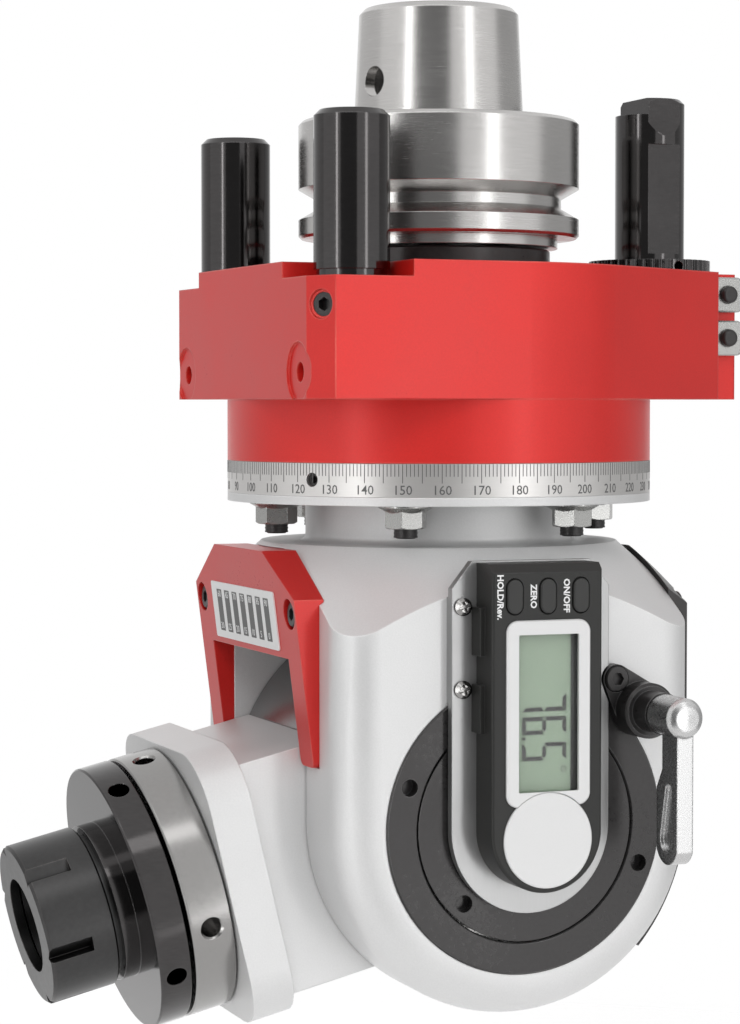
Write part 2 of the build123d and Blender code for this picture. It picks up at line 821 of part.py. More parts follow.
def guard():
    """Red guard plate that closes the top of the arm's slot."""
    top, foot = guard_face()
    wedge = Plane.XZ * make_face(Polyline(
        (-guard_seat(), guard_foot - 1), (-guard_seat(), guard_top + 1),
        (top[0], guard_top + 1), top, foot, (foot[0], guard_foot - 1), close=True))
    wedge = extrude(wedge, guard_half + 1, both=True)
    slab = Plane.YZ * guard_outline(True)
    slab = extrude(slab, body_half_x + 20, both=True)
    plate = wedge & slab
    feet = [e for e in plate.edges().filter_by(Axis.X) if abs(e.center().Z - guard_foot) < 0.1]
    plate = fillet(feet, 1.6)
    for y in (guard_screw_y, -guard_screw_y):
        plate = plate - guard_hole(y)
    return plate


def guard_screw_place(y):
    """Place of a guard screw on the housing, with local Z pointing out."""
    return Pos(-body_half_x, y, guard_screw_z) * Rot(0, -90, 0)


def guard_hole(y):
    """Counterbored screw hole of the guard, square to the housing."""
    far = guard_top_reach + 2
    hole = rod(m3_d + 0.4, -guard_pocket - 1, far) + rod(guard_bore_d, guard_screw_seat, far)
    return guard_screw_place(y) * hole


def guard_screws():
    """Socket screws of the guard."""
    screw = socket_screw(guard_screw_seat + plate_screw_reach)
    places = [guard_screw_place(y) for y in (guard_screw_y, -guard_screw_y)]
    return together([place * Pos(0, 0, guard_screw_seat) * screw for place in places])


def angle_label():
    """Plate with the reference angles, on the guard."""
    plate = extrude(RectangleRounded(label_width, label_height, 0.6), label_thickness)
    return guard_place(0, label_middle_z) * plate


def side_cover():
    """Black cover that closes the slot on the side away from the arm."""
    radius = body_half_x
    outer = radius + cover_reach
    down = radians(cover_end_angle)
    inner_end = (radius * cos(down), tilt_axis_z - radius * sin(down))
    outer_end = (outer * cos(down), tilt_axis_z - outer * sin(down))
    inner_mid = (radius * cos(down / 2), tilt_axis_z - radius * sin(down / 2))
    outer_mid = (outer * cos(down / 2), tilt_axis_z - outer * sin(down / 2))
    bevel = 12.0
    face = make_face([
        Line((radius, cover_top), (radius, tilt_axis_z)),
        ThreePointArc((radius, tilt_axis_z), inner_mid, inner_end),
        Line(inner_end, outer_end),
        ThreePointArc(outer_end, outer_mid, (outer, tilt_axis_z)),
        Line((outer, tilt_axis_z), (outer, cover_top - bevel)),
        Line((outer, cover_top - bevel), (radius + 0.8, cover_top)),
        Line((radius + 0.8, cover_top), (radius, cover_top)),
    ])
    cover = extrude(Plane.XZ * face, guard_half, both=True) & Pos(0, 0, cover_rise) * cone_top()
    far = cover_reach + 2
    for place in cover_screw_places():
        cover = cover - place * (rod(m3_d + 0.4, -1, far) + rod(guard_bore_d, cover_seat, far))
    return cover


def cover_screws():
    """Socket screws of the side cover."""
    screw = socket_screw(cover_seat + plate_screw_reach)
    return together([place * Pos(0, 0, cover_seat) * screw for place in cover_screw_places()])


# Angle display


def round_ended(half, top, corner=0.0):
    """Plate outline with a round lower end about the tilt axis, in (X, Z)."""
    points = [Line((-half, tilt_axis_z), (-half, top - corner))]
    if corner > 0:
        points.append(Line((-half, top - corner), (-half + corner * 0.8, top)))
    points.append(Line((-half + corner * 0.8, top), (half - corner * 0.8, top)))
    if corner > 0:
        points.append(Line((half - corner * 0.8, top), (half, top - corner)))
    points.append(Line((half, top - corner), (half, tilt_axis_z)))
    points.append(ThreePointArc((half, tilt_axis_z), (0, tilt_axis_z - half), (-half, tilt_axis_z)))
    return make_face(points)


def plate_between(face, near, far):
    """Extrudes an (X, Z) outline between two distances from the middle towards the display side."""
    return Pos(0, -near, 0) * extrude(Plane.XZ * face, far - near)


def display_bracket():
    """Metal plate that carries the angle display."""
    outline = round_ended(bracket_half, bracket_top, bracket_corner)
    plate = plate_between(outline, bracket_back, bracket_front)
    foot = plate_between(outline, front_y, bracket_back + 0.01)
    foot = foot & block(-50, 50, -60, 0, tilt_axis_z + 26, shoulder_z - 9.5)
    plate = plate + (foot - at_tilt_axis(rod(pivot_ring_d + 1.2, 0, 80)))
    plate = plate - at_tilt_axis(rod(encoder_d + 2 * AIR_GAP, 0, 80))
    for z in bracket_screw_heights:
        plate = plate - on_front(bracket_screw_x, z, front_y) * rod(m3_d + 0.4, -1, 8)
    return plate - plate_between(link_outline(0.4), 0, 80)


def bracket_screws():
    """Cross-head screws of the display bracket."""
    head = turned([(0, 0), (1.9, 0), (1.9, 0.5), (1.1, 1.3), (0, 1.3)])
    cross = block(-1.25, 1.25, -0.3, 0.3, 0.5, 2) + block(-0.3, 0.3, -1.25, 1.25, 0.5, 2)
    screw = head + rod(m3_d, -bracket_front + front_y - 6, 0) - cross
    places = [on_front(bracket_screw_x, z, bracket_front) for z in bracket_screw_heights]
    return together([place * Rot(0, 0, 20) * screw for place in places])


def case_outline(inset):
    """Outline of the display case, taken in by an inset."""
    return round_ended(case_half - inset, case_top - inset)


def display_case():
    """Black case of the angle display, open at the back against its bracket."""
    solid = plate_between(case_outline(0), bracket_front, case_front)
    rim = [e for e in solid.faces().sort_by(Axis.Y)[0].edges() if e.center().Z > case_top - 0.1]
    solid = chamfer(rim, case_bevel)
    rest = [e for e in solid.faces().sort_by(Axis.Y)[0].edges() if e.center().Z < case_top - case_bevel - 0.1]
    solid = fillet(rest, 0.6)
    room = plate_between(case_outline(case_wall), bracket_front - 1, case_front - case_wall)
    solid = solid - room
    slot = extrude(SlotOverall(button_length + 0.4, button_width + 0.4, 90), case_front + 5)
    for x in button_places():
        solid = solid - on_front(x, button_z, 0) * slot
    opening = extrude(Rectangle(window_width + 2, window_height + 2), 10)
    solid = solid - on_front(0, window_middle_z, case_front - case_wall - 1) * opening
    for z in ledge_heights:
        low = -bracket_front - ledge_depth
        solid = solid + block(-case_half - ledge_reach, -case_half + 0.01, low, -bracket_front, z - 5, z + 5)
    return solid


def button_places():
    """Positions of the three buttons across the display."""
    return [-button_pitch, 0.0, button_pitch]


def button(x):
    """Oval button, whose stem reaches the circuit board."""
    inside = case_front - case_wall
    oval = SlotOverall(button_length, button_width, 90)
    cap = on_front(x, button_z, inside) * extrude(oval, case_wall + button_proud)
    cap = fillet(cap.faces().sort_by(Axis.Y)[0].edges(), 0.35)
    flange = SlotOverall(button_length + 1.6, button_width + 1.2, 90)
    lip = on_front(x, button_z, inside - 1.0) * extrude(flange, 0.9)
    neck = on_front(x, button_z, inside - 0.2) * extrude(oval, 0.3)
    foot = board_front() + button_travel + 0.2
    stem = on_front(x, button_z, foot) * rod(1.6, 0, inside - 0.99 - foot)
    return cap + neck + lip + stem


def board_front():
    """Distance of the circuit board's front face from the middle of the head."""
    return bracket_front + 3.4


def display_board():
    """Circuit board behind the display."""
    board = plate_between(case_outline(case_wall + 0.3), board_front() - 1.6, board_front())
    board = board - at_tilt_axis(rod(encoder_d + 3, 0, 80))
    chip_z = window_middle_z + 9.8
    chip = block(-3, 3, -board_front() - 0.9, -board_front(), chip_z - 3, chip_z + 3)
    return board + chip


def coin_cell():
    """Coin cell behind the circuit board."""
    low = bracket_front + 0.1
    return on_front(0, window_middle_z - 1.2, low) * rod(coin_cell_d, 0, coin_cell_thickness)


def display_panel():
    """Liquid-crystal panel under the window."""
    low = board_front() + 0.02
    high = case_front - case_wall - 0.02
    face = Pos(0, window_middle_z) * Rectangle(window_width + 4, window_height + 3)
    return plate_between(face, low + 1.2, high)


def display_bezel():
    """Silver frame round the display window."""
    frame = RectangleRounded(bezel_width, bezel_height, 2.6)
    hole = RectangleRounded(window_width, window_height, 0.3)
    bezel = extrude(frame, bezel_thickness) - extrude(hole, 5, both=True)
    bezel = chamfer(bezel.faces().sort_by(Axis.Z)[-1].outer_wire().edges(), 0.25)
    return on_front(0, window_middle_z, case_front) * bezel - badge_room()


def badge_room():
    """Space of the badge, which overlaps the lower end of the bezel."""
    return on_front(0, badge_z, case_front) * rod(2 * badge_r + 0.1, -1, 4)


def display_window():
    """Clear window of the display."""
    pane = extrude(Rectangle(window_width + 1.9, window_height + 1.9), glass_thickness)
    return on_front(0, window_middle_z, case_front - case_wall + 0.02) * pane


def badge():
    """Plain round badge below the window."""
    disc = rod(2 * badge_r, 0, badge_thickness)
    disc = chamfer(disc.edges().sort_by(Axis.Z)[-1], 0.2)
    return on_front(0, badge_z, case_front) * disc


# Clamp of the tilt joint


def link_outline(extra):
    """Outline of the clamp's link in (X, Z), widened by an extra margin."""
    screw_end = Pos(link_screw_x, link_screw_z) * Circle(link_end_r + extra)
    boss_end = Pos(clamp_x, clamp_z) * Circle(clamp_boss_d / 2 + extra)
    return make_hull(screw_end.edges() + boss_end.edges())


def clamp_link():
    """Black link that holds the clamp's boss against the housing."""
    plate = link_outline(0)
    low = front_y + pivot_ring_proud + 0.2
    link = plate_between(plate, low, low + link_thickness)
    foot = on_front(link_screw_x, link_screw_z, front_y) * rod(2 * link_end_r - 1, 0, low - front_y + 0.01)
    boss = on_front(clamp_x, clamp_z, 0) * rod(clamp_boss_d, low + link_thickness - 0.01, clamp_boss_front)
    boss = chamfer(boss.faces().sort_by(Axis.Y)[0].edges(), 0.6)
    sleeve = on_front(clamp_x, clamp_z, 0) * rod(clamp_sleeve_d, clamp_boss_front - 0.01, clamp_sleeve_front)
    link = link + foot + boss + sleeve
    link = link - on_front(clamp_x, clamp_z, 0) * rod(clamp_stud_d + 2 * RUN_GAP, 0, 80)
    hole = rod(m3_d + 0.4, 0, 80) + rod(m3_head_d + 0.3, link_head_seat(), 80)
    return link - on_front(link_screw_x, link_screw_z, 0) * hole


def link_head_seat():
    """Distance of the link screw's head seat from the middle of the head."""
    return front_y + pivot_ring_proud + 1.0


def link_screw():
    """Socket screw of the link."""
    return on_front(link_screw_x, link_screw_z, link_head_seat()) * socket_screw(8.0, head_height=2.2)


def clamp_stud():
    """Threaded stud that presses on the drum when the lever is turned."""
    tip = drum_half + SLIDE_GAP
    stud = rod(clamp_stud_d, tip, lever_hub_back + lever_stud_reach)
    return on_front(clamp_x, clamp_z, 0) * chamfer(stud.edges().sort_by(Axis.Z)[0], 0.6)


def clamp_lever():
    """Clamping lever with a turned hub and a flat handle."""
    radius = lever_hub_d / 2
    high = lever_hub_front
    hub = turned([
        (0, lever_hub_back), (radius, lever_hub_back), (radius, high - 1.6), (radius - 0.5, high - 0.7),
        (radius - 1.6, high - 0.15), (0, high)])
    drop = clamp_z - lever_end_z
    waist = 0.36 * drop
    end_middle = (-drop, (lever_front + lever_back) / 2)
    side = make_face([
        Line((0, lever_waist_back), (0, lever_front)),
        Line((0, lever_front), (-drop + 3, lever_front)),
        ThreePointArc((-drop + 3, lever_front), end_middle, (-drop + 3, lever_back)),
        Line((-drop + 3, lever_back), (-waist - 4, lever_back)),
        Line((-waist - 4, lever_back), (-waist, lever_waist_back)),
        Line((-waist, lever_waist_back), (0, lever_waist_back)),
    ])
    handle = Pos(lever_offset - lever_width / 2, 0, 0) * extrude(Plane.YZ * side, lever_width)
    pocket = lever_pocket(drop)
    lever = hub + (handle - pocket)
    lever = lever - rod(clamp_stud_d + 2 * PRESS_GAP, 0, lever_hub_back + lever_stud_reach + PRESS_GAP)
    return on_front(clamp_x, clamp_z, 0) * lever


def lever_pocket(drop):
    """Tapered hollow in the flank of the lever's handle."""
    middle = (lever_back + lever_front) / 2
    wide = Pos(-drop + 5.2, middle) * Circle(2.9)
    narrow = Pos(-0.5 * drop, middle + 0.8) * Circle(1.5)
    outline = make_hull(wide.edges() + narrow.edges())
    return Pos(lever_offset - lever_width / 2 - 1, 0, 0) * extrude(Plane.YZ * outline, 1 + lever_pocket_depth)


# Input shaft group


def input_shaft():
    """Shank and input shaft in one piece."""
    taper_r = taper_d / 2
    tip_r = taper_r - taper_length / taper_rate / 2
    flange_r = shank_flange_d / 2
    run = groove_depth * tan(radians(groove_flank_angle))
    upper = -groove_middle + groove_width / 2
    lower = -groove_middle - groove_width / 2
    neck = -shank_flange_height
    nose = neck - shank_neck_height
    seat_end = min(input_bearing_lows()) - 0.2
    end = tilt_axis_z + gear_axial(pinion_teeth, idler_teeth, cone_distance - face_width) - 1
    body = turned([
        (0, end), (pinion_seat_d / 2, end), (pinion_seat_d / 2, seat_end), (shaft_d / 2, seat_end),
        (shaft_d / 2, input_bearing_top),
        (shaft_collar_d / 2, input_bearing_top), (shaft_collar_d / 2, nose), (shank_neck_d / 2, nose),
        (shank_neck_d / 2, neck), (flange_r - 0.6, neck), (flange_r, neck + 0.6), (flange_r, lower),
        (flange_r - groove_depth, lower + run), (flange_r - groove_depth, upper - run), (flange_r, upper),
        (flange_r, -0.8), (flange_r - 0.8, 0), (taper_r, 0), (tip_r + 0.1, taper_length - 1.2),
        (tip_r - 1.0, taper_length), (0, taper_length)])
    mouth = gripper_mouth_d / 2
    wide = gripper_d / 2
    top = taper_length
    shoulder = top - gripper_lip
    floor = top - gripper_depth
    hollow = turned([
        (0, top + 1), (mouth + 0.6, top + 1), (mouth + 0.6, top), (mouth, top - 1), (mouth, shoulder),
        (wide, shoulder - (wide - mouth) / tan(radians(30))), (wide, floor), (mouth - 4, floor - 2),
        (6, floor - 2), (6, floor - 12), (0, floor - 12)])
    across = Pos(0, 0, access_hole_height) * Rot(0, 0, access_hole_polar) * Rot(0, 90, 0)
    return body - hollow - across * rod(access_hole_d, -40, 40)


def shaft_spacer():
    """Tube between the inner rings of the input shaft's bearings."""
    lows = input_bearing_lows()
    return tube(shaft_d + 6, shaft_d + 2 * PRESS_GAP, lows[2] + input_bearing_width, lows[1])


# Bevel gears


def pitch_angle(teeth, mate):
    """Half angle of the pitch cone."""
    return atan(teeth / mate)


def gear_axial(teeth, mate, distance):
    """Distance along the gear's axis of a point on its pitch cone."""
    return distance * cos(pitch_angle(teeth, mate))


def tooth_profile(teeth, mate):
    """Half-tooth points (height above pitch line, half thickness) at the large end."""
    delta = pitch_angle(teeth, mate)
    module = 2 * cone_distance * sin(delta) / teeth
    pitch_r = cone_distance * sin(delta) / cos(delta)
    base_r = pitch_r * cos(radians(pressure_angle))
    half = pi * module * tooth_fill / 4 / pitch_r
    involute = tan(radians(pressure_angle)) - radians(pressure_angle)
    root_r = pitch_r - dedendum * module
    tip_r = pitch_r + addendum * module
    start = max(base_r, root_r)
    radii = [start + (tip_r - start) * n / 4 for n in range(5)]
    if root_r < start:
        radii = [root_r] + radii
    radii = [root_r - 0.35] + radii
    points = []
    for radius in radii:
        angle = acos(min(1.0, base_r / radius))
        reach = half + involute - (tan(angle) - angle)
        points.append((radius * cos(reach) - pitch_r, radius * sin(reach)))
    return points


def tooth(teeth, mate):
    """One tapered tooth over local X, with the cone's apex at the origin."""
    delta = pitch_angle(teeth, mate)
    along = Vector(sin(delta), 0, cos(delta))
    rise = Vector(cos(delta), 0, -sin(delta))
    side = Vector(0, 1, 0)
    half = tooth_profile(teeth, mate)
    outline = half + [(height, -width) for height, width in reversed(half)]
    wires = []
    for distance in (cone_distance - face_width, cone_distance):
        share = distance / cone_distance
        start = along * distance
        corners = [start + rise * (height * share) + side * (width * share) for height, width in outline]
        wires.append(Wire.make_polygon(corners, close=True))
    return Solid.make_loft(wires, ruled=True)


def bevel_gear(teeth, mate, bore_d, hub_d, hub_end, back):
    """Straight bevel gear with its apex at the origin and its axis along Z."""
    delta = pitch_angle(teeth, mate)
    module = 2 * cone_distance * sin(delta) / teeth
    drop = dedendum * module
    large = (cone_distance * sin(delta) - drop * cos(delta), cone_distance * cos(delta) + drop * sin(delta))
    share = (cone_distance - face_width) / cone_distance
    small = (large[0] * share, large[1] * share)
    back_r = large[0] - (back - large[1]) / tan(delta)
    body = turned([
        (bore_d / 2, small[1]), small, large, (back_r, back), (hub_d / 2, back), (hub_d / 2, hub_end),
        (bore_d / 2, hub_end)])
    teeth_shapes = [Rot(0, 0, 360 * n / teeth) * tooth(teeth, mate) for n in range(teeth)]
    return body + teeth_shapes


def pinion_back():
    """Height of a pinion's back face above the apex."""
    delta = pitch_angle(pinion_teeth, idler_teeth)
    module = 2 * cone_distance * sin(delta) / pinion_teeth
    return cone_distance * cos(delta) + dedendum * module * sin(delta) + 1.5


def input_pinion():
    """Bevel pinion on the input shaft, with a tooth towards the idler."""
    hub_end = min(input_bearing_lows()) - tilt_axis_z
    bore = pinion_seat_d + 2 * PRESS_GAP
    gear = bevel_gear(pinion_teeth, idler_teeth, bore, pinion_hub_d, hub_end - 0.2, pinion_back())
    return Pos(0, 0, tilt_axis_z) * Rot(0, 0, 90) * gear


def idler_phase():
    """Turn of the idler that puts a gap opposite the input pinion's tooth."""
    return 180 / idler_teeth


def idler_gear():
    """Idler on the tilt axis, which both pinions mesh with, and its shaft."""
    gear = bevel_gear(idler_teeth, pinion_teeth, 0.0, 16.0, idler_back + 3.0, idler_back)
    shaft_end = idler_bearing_lows()[1] + idler_bearing_width - 0.4
    gear = gear + rod(idler_bearing_bore, idler_back + 2.9, shaft_end)
    plane = Plane(origin=(0, 0, tilt_axis_z), x_dir=(0, 0, 1), z_dir=(0, 1, 0))
    return plane.location * Rot(0, 0, idler_phase()) * gear


def output_pinion_turn():
    """Turn of the output pinion, in the arm's frame, that seats it in the idler's teeth at rest."""
    pitch = 360 / idler_teeth
    arm_azimuth = -(180 - rest_tilt)
    lead = (idler_phase() - arm_azimuth + pitch / 2) % pitch - pitch / 2
    return -90 + 180 / pinion_teeth - lead * idler_teeth / pinion_teeth


def output_pinion():
    """Bevel pinion on the output spindle."""
    bore = pinion_seat_d + 2 * PRESS_GAP
    gear = bevel_gear(pinion_teeth, idler_teeth, bore, pinion_hub_d, pinion_hub_end, pinion_back())
    return on_arm(Rot(0, 0, output_pinion_turn()) * gear)


# Output arm group


def drum_opening():
    """Sector of the drum that is cut away for the input shaft at every tilt."""
    half_hub = 12.0
    margin = degrees(asin(half_hub / (drum_d / 2 - drum_wall)))
    start = 180 + margin
    end = 180 - tilt_high - margin
    steps = 6
    reach = drum_d
    points = [(0, 0)]
    for n in range(steps + 1):
        angle = radians(end + (start - end) * n / steps)
        points.append((reach * sin(angle), reach * cos(angle)))
    return points


def arm_housing():
    """Drum with its trunnions, square arm and flange, in one casting."""
    drum = Rot(90, 0, 0) * rod(drum_d, -drum_half, drum_half)
    arm = block(-arm_height / 2, arm_height / 2, -drum_half, drum_half, 0, flange_back + 1)
    plate = RectangleRounded(flange_size, flange_size, flange_corner)
    flange = Pos(0, 0, flange_back) * extrude(plate, flange_front - flange_back)
    body = drum + arm + flange
    cavity = Rot(90, 0, 0) * rod(drum_d - 2 * drum_wall, -drum_cavity_half, drum_cavity_half)
    body = body - cavity
    sector = Plane.XZ * make_face(Polyline(*[(-x, z) for x, z in drum_opening()], close=True))
    body = body - extrude(sector, drum_cavity_half, both=True)
    for side in (1, -1):
        stub = rod(trunnion_shoulder_d, drum_half - 0.01, front_y - pivot_ring_depth - tilt_bearing_width)
        stub = stub + rod(trunnion_d, drum_half, front_y - pivot_ring_depth + 0.3 * side)
        body = body + Rot(-90 * side, 0, 0) * stub
    body = body - Rot(90, 0, 0) * rod(trunnion_bore, drum_cavity_half - 1, front_y)
    body = body - Rot(-90, 0, 0) * rod(encoder_d + 2 * PRESS_GAP, drum_cavity_half - 1, front_y)
    seat = spindle_bearing_d
    body = body - rod(seat, spindle_bearing_first, flange_front + 1)
    body = body - rod(seat - 3, 10, spindle_bearing_first + 1)
    return on_arm(body)


def encoder_shaft():
    """Shaft that carries the arm's tilt to the angle display."""
    return at_tilt_axis(rod(encoder_d, drum_cavity_half + 1, board_front() - 1.0))


def spindle_bearing_lows():
    """Inner faces of the spindle's two bearings, along the arm."""
    return (spindle_bearing_first, spindle_bearing_second)


def spindle_races(which):
    """Outer (0) or inner (1) rings of the spindle's bearings."""
    rings = []
    for low in spindle_bearing_lows():
        pair = race_pair(spindle_bearing_d, spindle_bearing_bore, spindle_bearing_width, low)
        rings.append(on_arm(pair[which]))
    return together(rings)


def spindle_spacers(which):
    """Spacer between the outer (0) or inner (1) rings of the spindle's bearings."""
    low = spindle_bearing_first + spindle_bearing_width
    high = spindle_bearing_second
    if which == 0:
        return on_arm(tube(spindle_bearing_d - 2 * PRESS_GAP, spindle_bearing_d - 6, low, high))
    return on_arm(tube(spindle_bearing_bore + 6, spindle_bearing_bore + 2 * PRESS_GAP, low, high))


def ball_cage():
    """Cage rings and balls of the spindle's bearings."""
    pieces = []
    size = ball_size(spindle_bearing_d, spindle_bearing_bore)
    track = (spindle_bearing_d + spindle_bearing_bore) / 4
    for low in spindle_bearing_lows():
        middle = low + spindle_bearing_width / 2
        cage = tube(2 * track + 1.6, 2 * track - 1.6, middle - size * 0.62, middle + size * 0.62)
        for n in range(ball_count):
            pocket = Rot(0, 90, 0) * rod(size + 2 * RUN_GAP, 0, 2 * track)
            cage = cage - Pos(0, 0, middle) * Rot(0, 0, 360 * n / ball_count) * pocket
            pieces.append(polar(track, 360 * n / ball_count, middle) * Sphere(size / 2))
        pieces.append(cage)
    return on_arm(together(pieces))


def radial_holes(first, middle, hole_d, taper):
    """Four radial spanner holes in a ring, each with a bevelled mouth."""
    holes = []
    outside = bearing_nut_d / 2
    radius = hole_d / 2
    high = outside + 0.3
    mouth = turned([(0, outside - taper), (radius, outside - taper), (radius + taper + 0.3, high), (0, high)])
    hole = rod(hole_d, outside - spanner_hole_depth, outside + 1) + mouth
    for n in range(4):
        holes.append(Pos(0, 0, middle) * Rot(0, 0, first + 90 * n) * Rot(0, 90, 0) * hole)
    return holes


def bearing_nut():
    """Silver nut that holds the spindle's outer bearing rings."""
    low = flange_front + 0.3
    seat = spindle_bearing_second + spindle_bearing_width
    ring = tube(bearing_nut_d, spindle_bearing_bore + 9, low, bearing_nut_front)
    ring = chamfer(ring.edges().filter_by(GeomType.CIRCLE).group_by(SortBy.RADIUS)[-1], 0.35)
    ring = ring + tube(spindle_bearing_d - 2 * PRESS_GAP, spindle_bearing_bore + 9, seat, low + 0.01)
    for hole in radial_holes(nut_hole_polar, (low + bearing_nut_front) / 2, nut_hole_d, 0.5):
        ring = ring - hole
    return on_arm(ring)


def output_spindle():
    """Output spindle with its taper seat for the collet."""
    seat_end = spindle_bearing_second + spindle_bearing_width
    inner_end = gear_axial(pinion_teeth, idler_teeth, cone_distance - face_width) - 1
    seat = spindle_bearing_bore / 2
    thread = nose_thread_d / 2
    back = spanner_ring_back
    shaft = turned([
        (0, inner_end), (pinion_seat_d / 2, inner_end), (pinion_seat_d / 2, pinion_hub_end),
        (seat, pinion_hub_end), (seat, seat_end), (seat + 3, seat_end), (seat + 3, back), (thread, back),
        (thread, nose_front - 0.8), (thread - 0.8, nose_front), (0, nose_front)])
    mouth = collet_mouth_d / 2
    end_r = mouth - collet_taper_length * tan(radians(collet_taper_angle))
    deep = nose_front - collet_taper_length
    bore = turned([
        (0, nose_front + 1), (mouth, nose_front + 1), (mouth, nose_front), (end_r, deep),
        (spindle_bore_d / 2, deep - 0.5), (spindle_bore_d / 2, deep - 16), (0, deep - 20)])
    return on_arm(shaft - bore)


def spanner_ring():
    """Black ring on the spindle, held with a pin spanner while the collet nut is turned."""
    bore = nose_thread_d + 2 * PRESS_GAP
    ring = tube(bearing_nut_d, bore, spanner_ring_back, spanner_ring_front)
    ring = chamfer(ring.edges().filter_by(GeomType.CIRCLE).group_by(SortBy.RADIUS)[-1], 0.35)
    hub = tube(spanner_ring_hub_d, bore, spanner_ring_front - 0.01, spanner_ring_hub_front)
    ring = ring + hub
    middle = (spanner_ring_back + spanner_ring_front) / 2
    for hole in radial_holes(spanner_hole_polar, middle, spanner_hole_d, 0.1):
        ring = ring - hole
    return on_arm(ring)


def collet_nut():
    """Slotted collet nut."""
    radius = collet_nut_d / 2
    front = collet_nut_front
    bore = nose_thread_d / 2 + PRESS_GAP
    back = collet_nut_back
    mouth = collet_nut_mouth_d / 2
    nut = turned([
        (bore, back), (radius - 0.4, back), (radius, back + 0.4), (radius, front - 0.6), (radius - 0.6, front),
        (mouth, front), (mouth, front - 2.2), (collet_mouth_d / 2, nose_front + 0.1), (bore, nose_front + 0.1)])
    deep = radius - collet_slot_depth
    for n in range(collet_nut_slots):
        cut = Polyline((deep, 0), (radius + 2, 0), (radius + 2, 7.5), close=True)
        notch = Pos(0, 0, front - collet_slot_length) * extrude(make_face(cut), collet_slot_length + 1)
        nut = nut - Rot(0, 0, 360 * n / collet_nut_slots + 12) * notch
    return on_arm(nut)


def nodes():
    """Every node's name with the function that makes it and what that function is given."""
    return {
        "stop_block": (stop_block,),
        "front_torque_pin": (torque_pin, -1),
        "rear_torque_pin": (torque_pin, 1),
        "index_pin": (index_pin,),
        "index_pin_collar": (pin_collar,),
        "pin_grub_screws": (pin_grub_screws,),
        "clamp_pads": (clamp_pads,),
        "clamp_pad_screws": (pad_screws,),
        "housing": (housing,),
        "scale_ring": (scale_ring,),
        "scale_ring_screw": (scale_ring_screw,),
        "swivel_studs": (clamp_studs,),
        "swivel_nuts": (flange_nuts,),
        "bearing_cap": (bearing_cap,),
        "shaft_seal": (shaft_seal,),
        "input_outer_races": (input_races, 0),
        "pivot_ring": (pivot_ring,),
        "rear_pivot_cap": (rear_pivot_cap,),
        "tilt_outer_races": (tilt_races, 0),
        "idler_outer_races": (idler_races, 0),
        "slot_guard": (guard,),
        "guard_screws": (guard_screws,),
        "angle_label": (angle_label,),
        "side_cover": (side_cover,),
        "cover_screws": (cover_screws,),
        "display_bracket": (display_bracket,),
        "bracket_screws": (bracket_screws,),
        "display_case": (display_case,),
        "display_board": (display_board,),
        "display_panel": (display_panel,),
        "coin_cell": (coin_cell,),
        "display_bezel": (display_bezel,),
        "display_window": (display_window,),
        "display_badge": (badge,),
        "hold_button": (button, button_places()[0]),
        "zero_button": (button, button_places()[1]),
        "power_button": (button, button_places()[2]),
        "clamp_link": (clamp_link,),
        "link_screw": (link_screw,),
        "clamp_stud": (clamp_stud,),
        "clamp_lever": (clamp_lever,),
        "input_shaft": (input_shaft,),
        "input_inner_races": (input_races, 1),
        "shaft_spacer": (shaft_spacer,),
        "input_pinion": (input_pinion,),
        "idler_gear": (idler_gear,),
        "idler_inner_races": (idler_races, 1),
        "arm_housing": (arm_housing,),
        "pivot_disc": (pivot_disc,),
        "tilt_inner_races": (tilt_races, 1),
        "encoder_shaft": (encoder_shaft,),
        "spindle_outer_races": (spindle_races, 0),
        "outer_spacer": (spindle_spacers, 0),
        "bearing_nut": (bearing_nut,),
        "ball_cages": (ball_cage,),
        "output_spindle": (output_spindle,),
        "spindle_inner_races": (spindle_races, 1),
        "output_pinion": (output_pinion,),
        "spanner_ring": (spanner_ring,),
        "collet_nut": (collet_nut,),
    }


def main():
    """Writes one file per node."""
    os.makedirs("parts", exist_ok=True)
    for name, (make, *given) in nodes().items():
        export_step(make(*given), "parts/" + name + ".step")


if __name__ == "__main__":
    main()
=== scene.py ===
import json
from math import cos, pi, radians, sin, tan

import bmesh
import bpy
from mathutils import Matrix, Vector


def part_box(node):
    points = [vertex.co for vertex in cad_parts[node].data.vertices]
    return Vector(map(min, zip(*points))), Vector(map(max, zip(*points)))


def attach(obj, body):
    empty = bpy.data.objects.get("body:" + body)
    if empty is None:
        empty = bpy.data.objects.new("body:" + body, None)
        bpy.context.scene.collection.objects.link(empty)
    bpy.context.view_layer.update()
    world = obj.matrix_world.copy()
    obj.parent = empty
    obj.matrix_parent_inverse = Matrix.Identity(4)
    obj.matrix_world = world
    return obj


bl_info = {
    "name": "Angle head finishes",
    "version": (1, 0, 0),
    "blender": (4, 5, 0),
    "location": "3D View > Sidebar > Angle head",
    "description": "Finishes, markings and studio for a swivelling milling angle head",
    "category": "Object",
}

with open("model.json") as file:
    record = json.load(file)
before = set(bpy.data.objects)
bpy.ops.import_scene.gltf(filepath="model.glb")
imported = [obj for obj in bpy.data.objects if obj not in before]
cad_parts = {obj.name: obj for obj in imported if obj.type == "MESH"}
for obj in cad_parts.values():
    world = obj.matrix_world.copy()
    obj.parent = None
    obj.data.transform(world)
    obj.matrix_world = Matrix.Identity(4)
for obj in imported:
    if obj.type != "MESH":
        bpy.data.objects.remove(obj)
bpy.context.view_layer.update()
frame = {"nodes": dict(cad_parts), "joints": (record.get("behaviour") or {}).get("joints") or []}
NODES = frame["nodes"]
JOINTS = {joint["name"]: joint for joint in frame["joints"]}
MM = 0.001
WHITE = (1, 1, 1, 1)


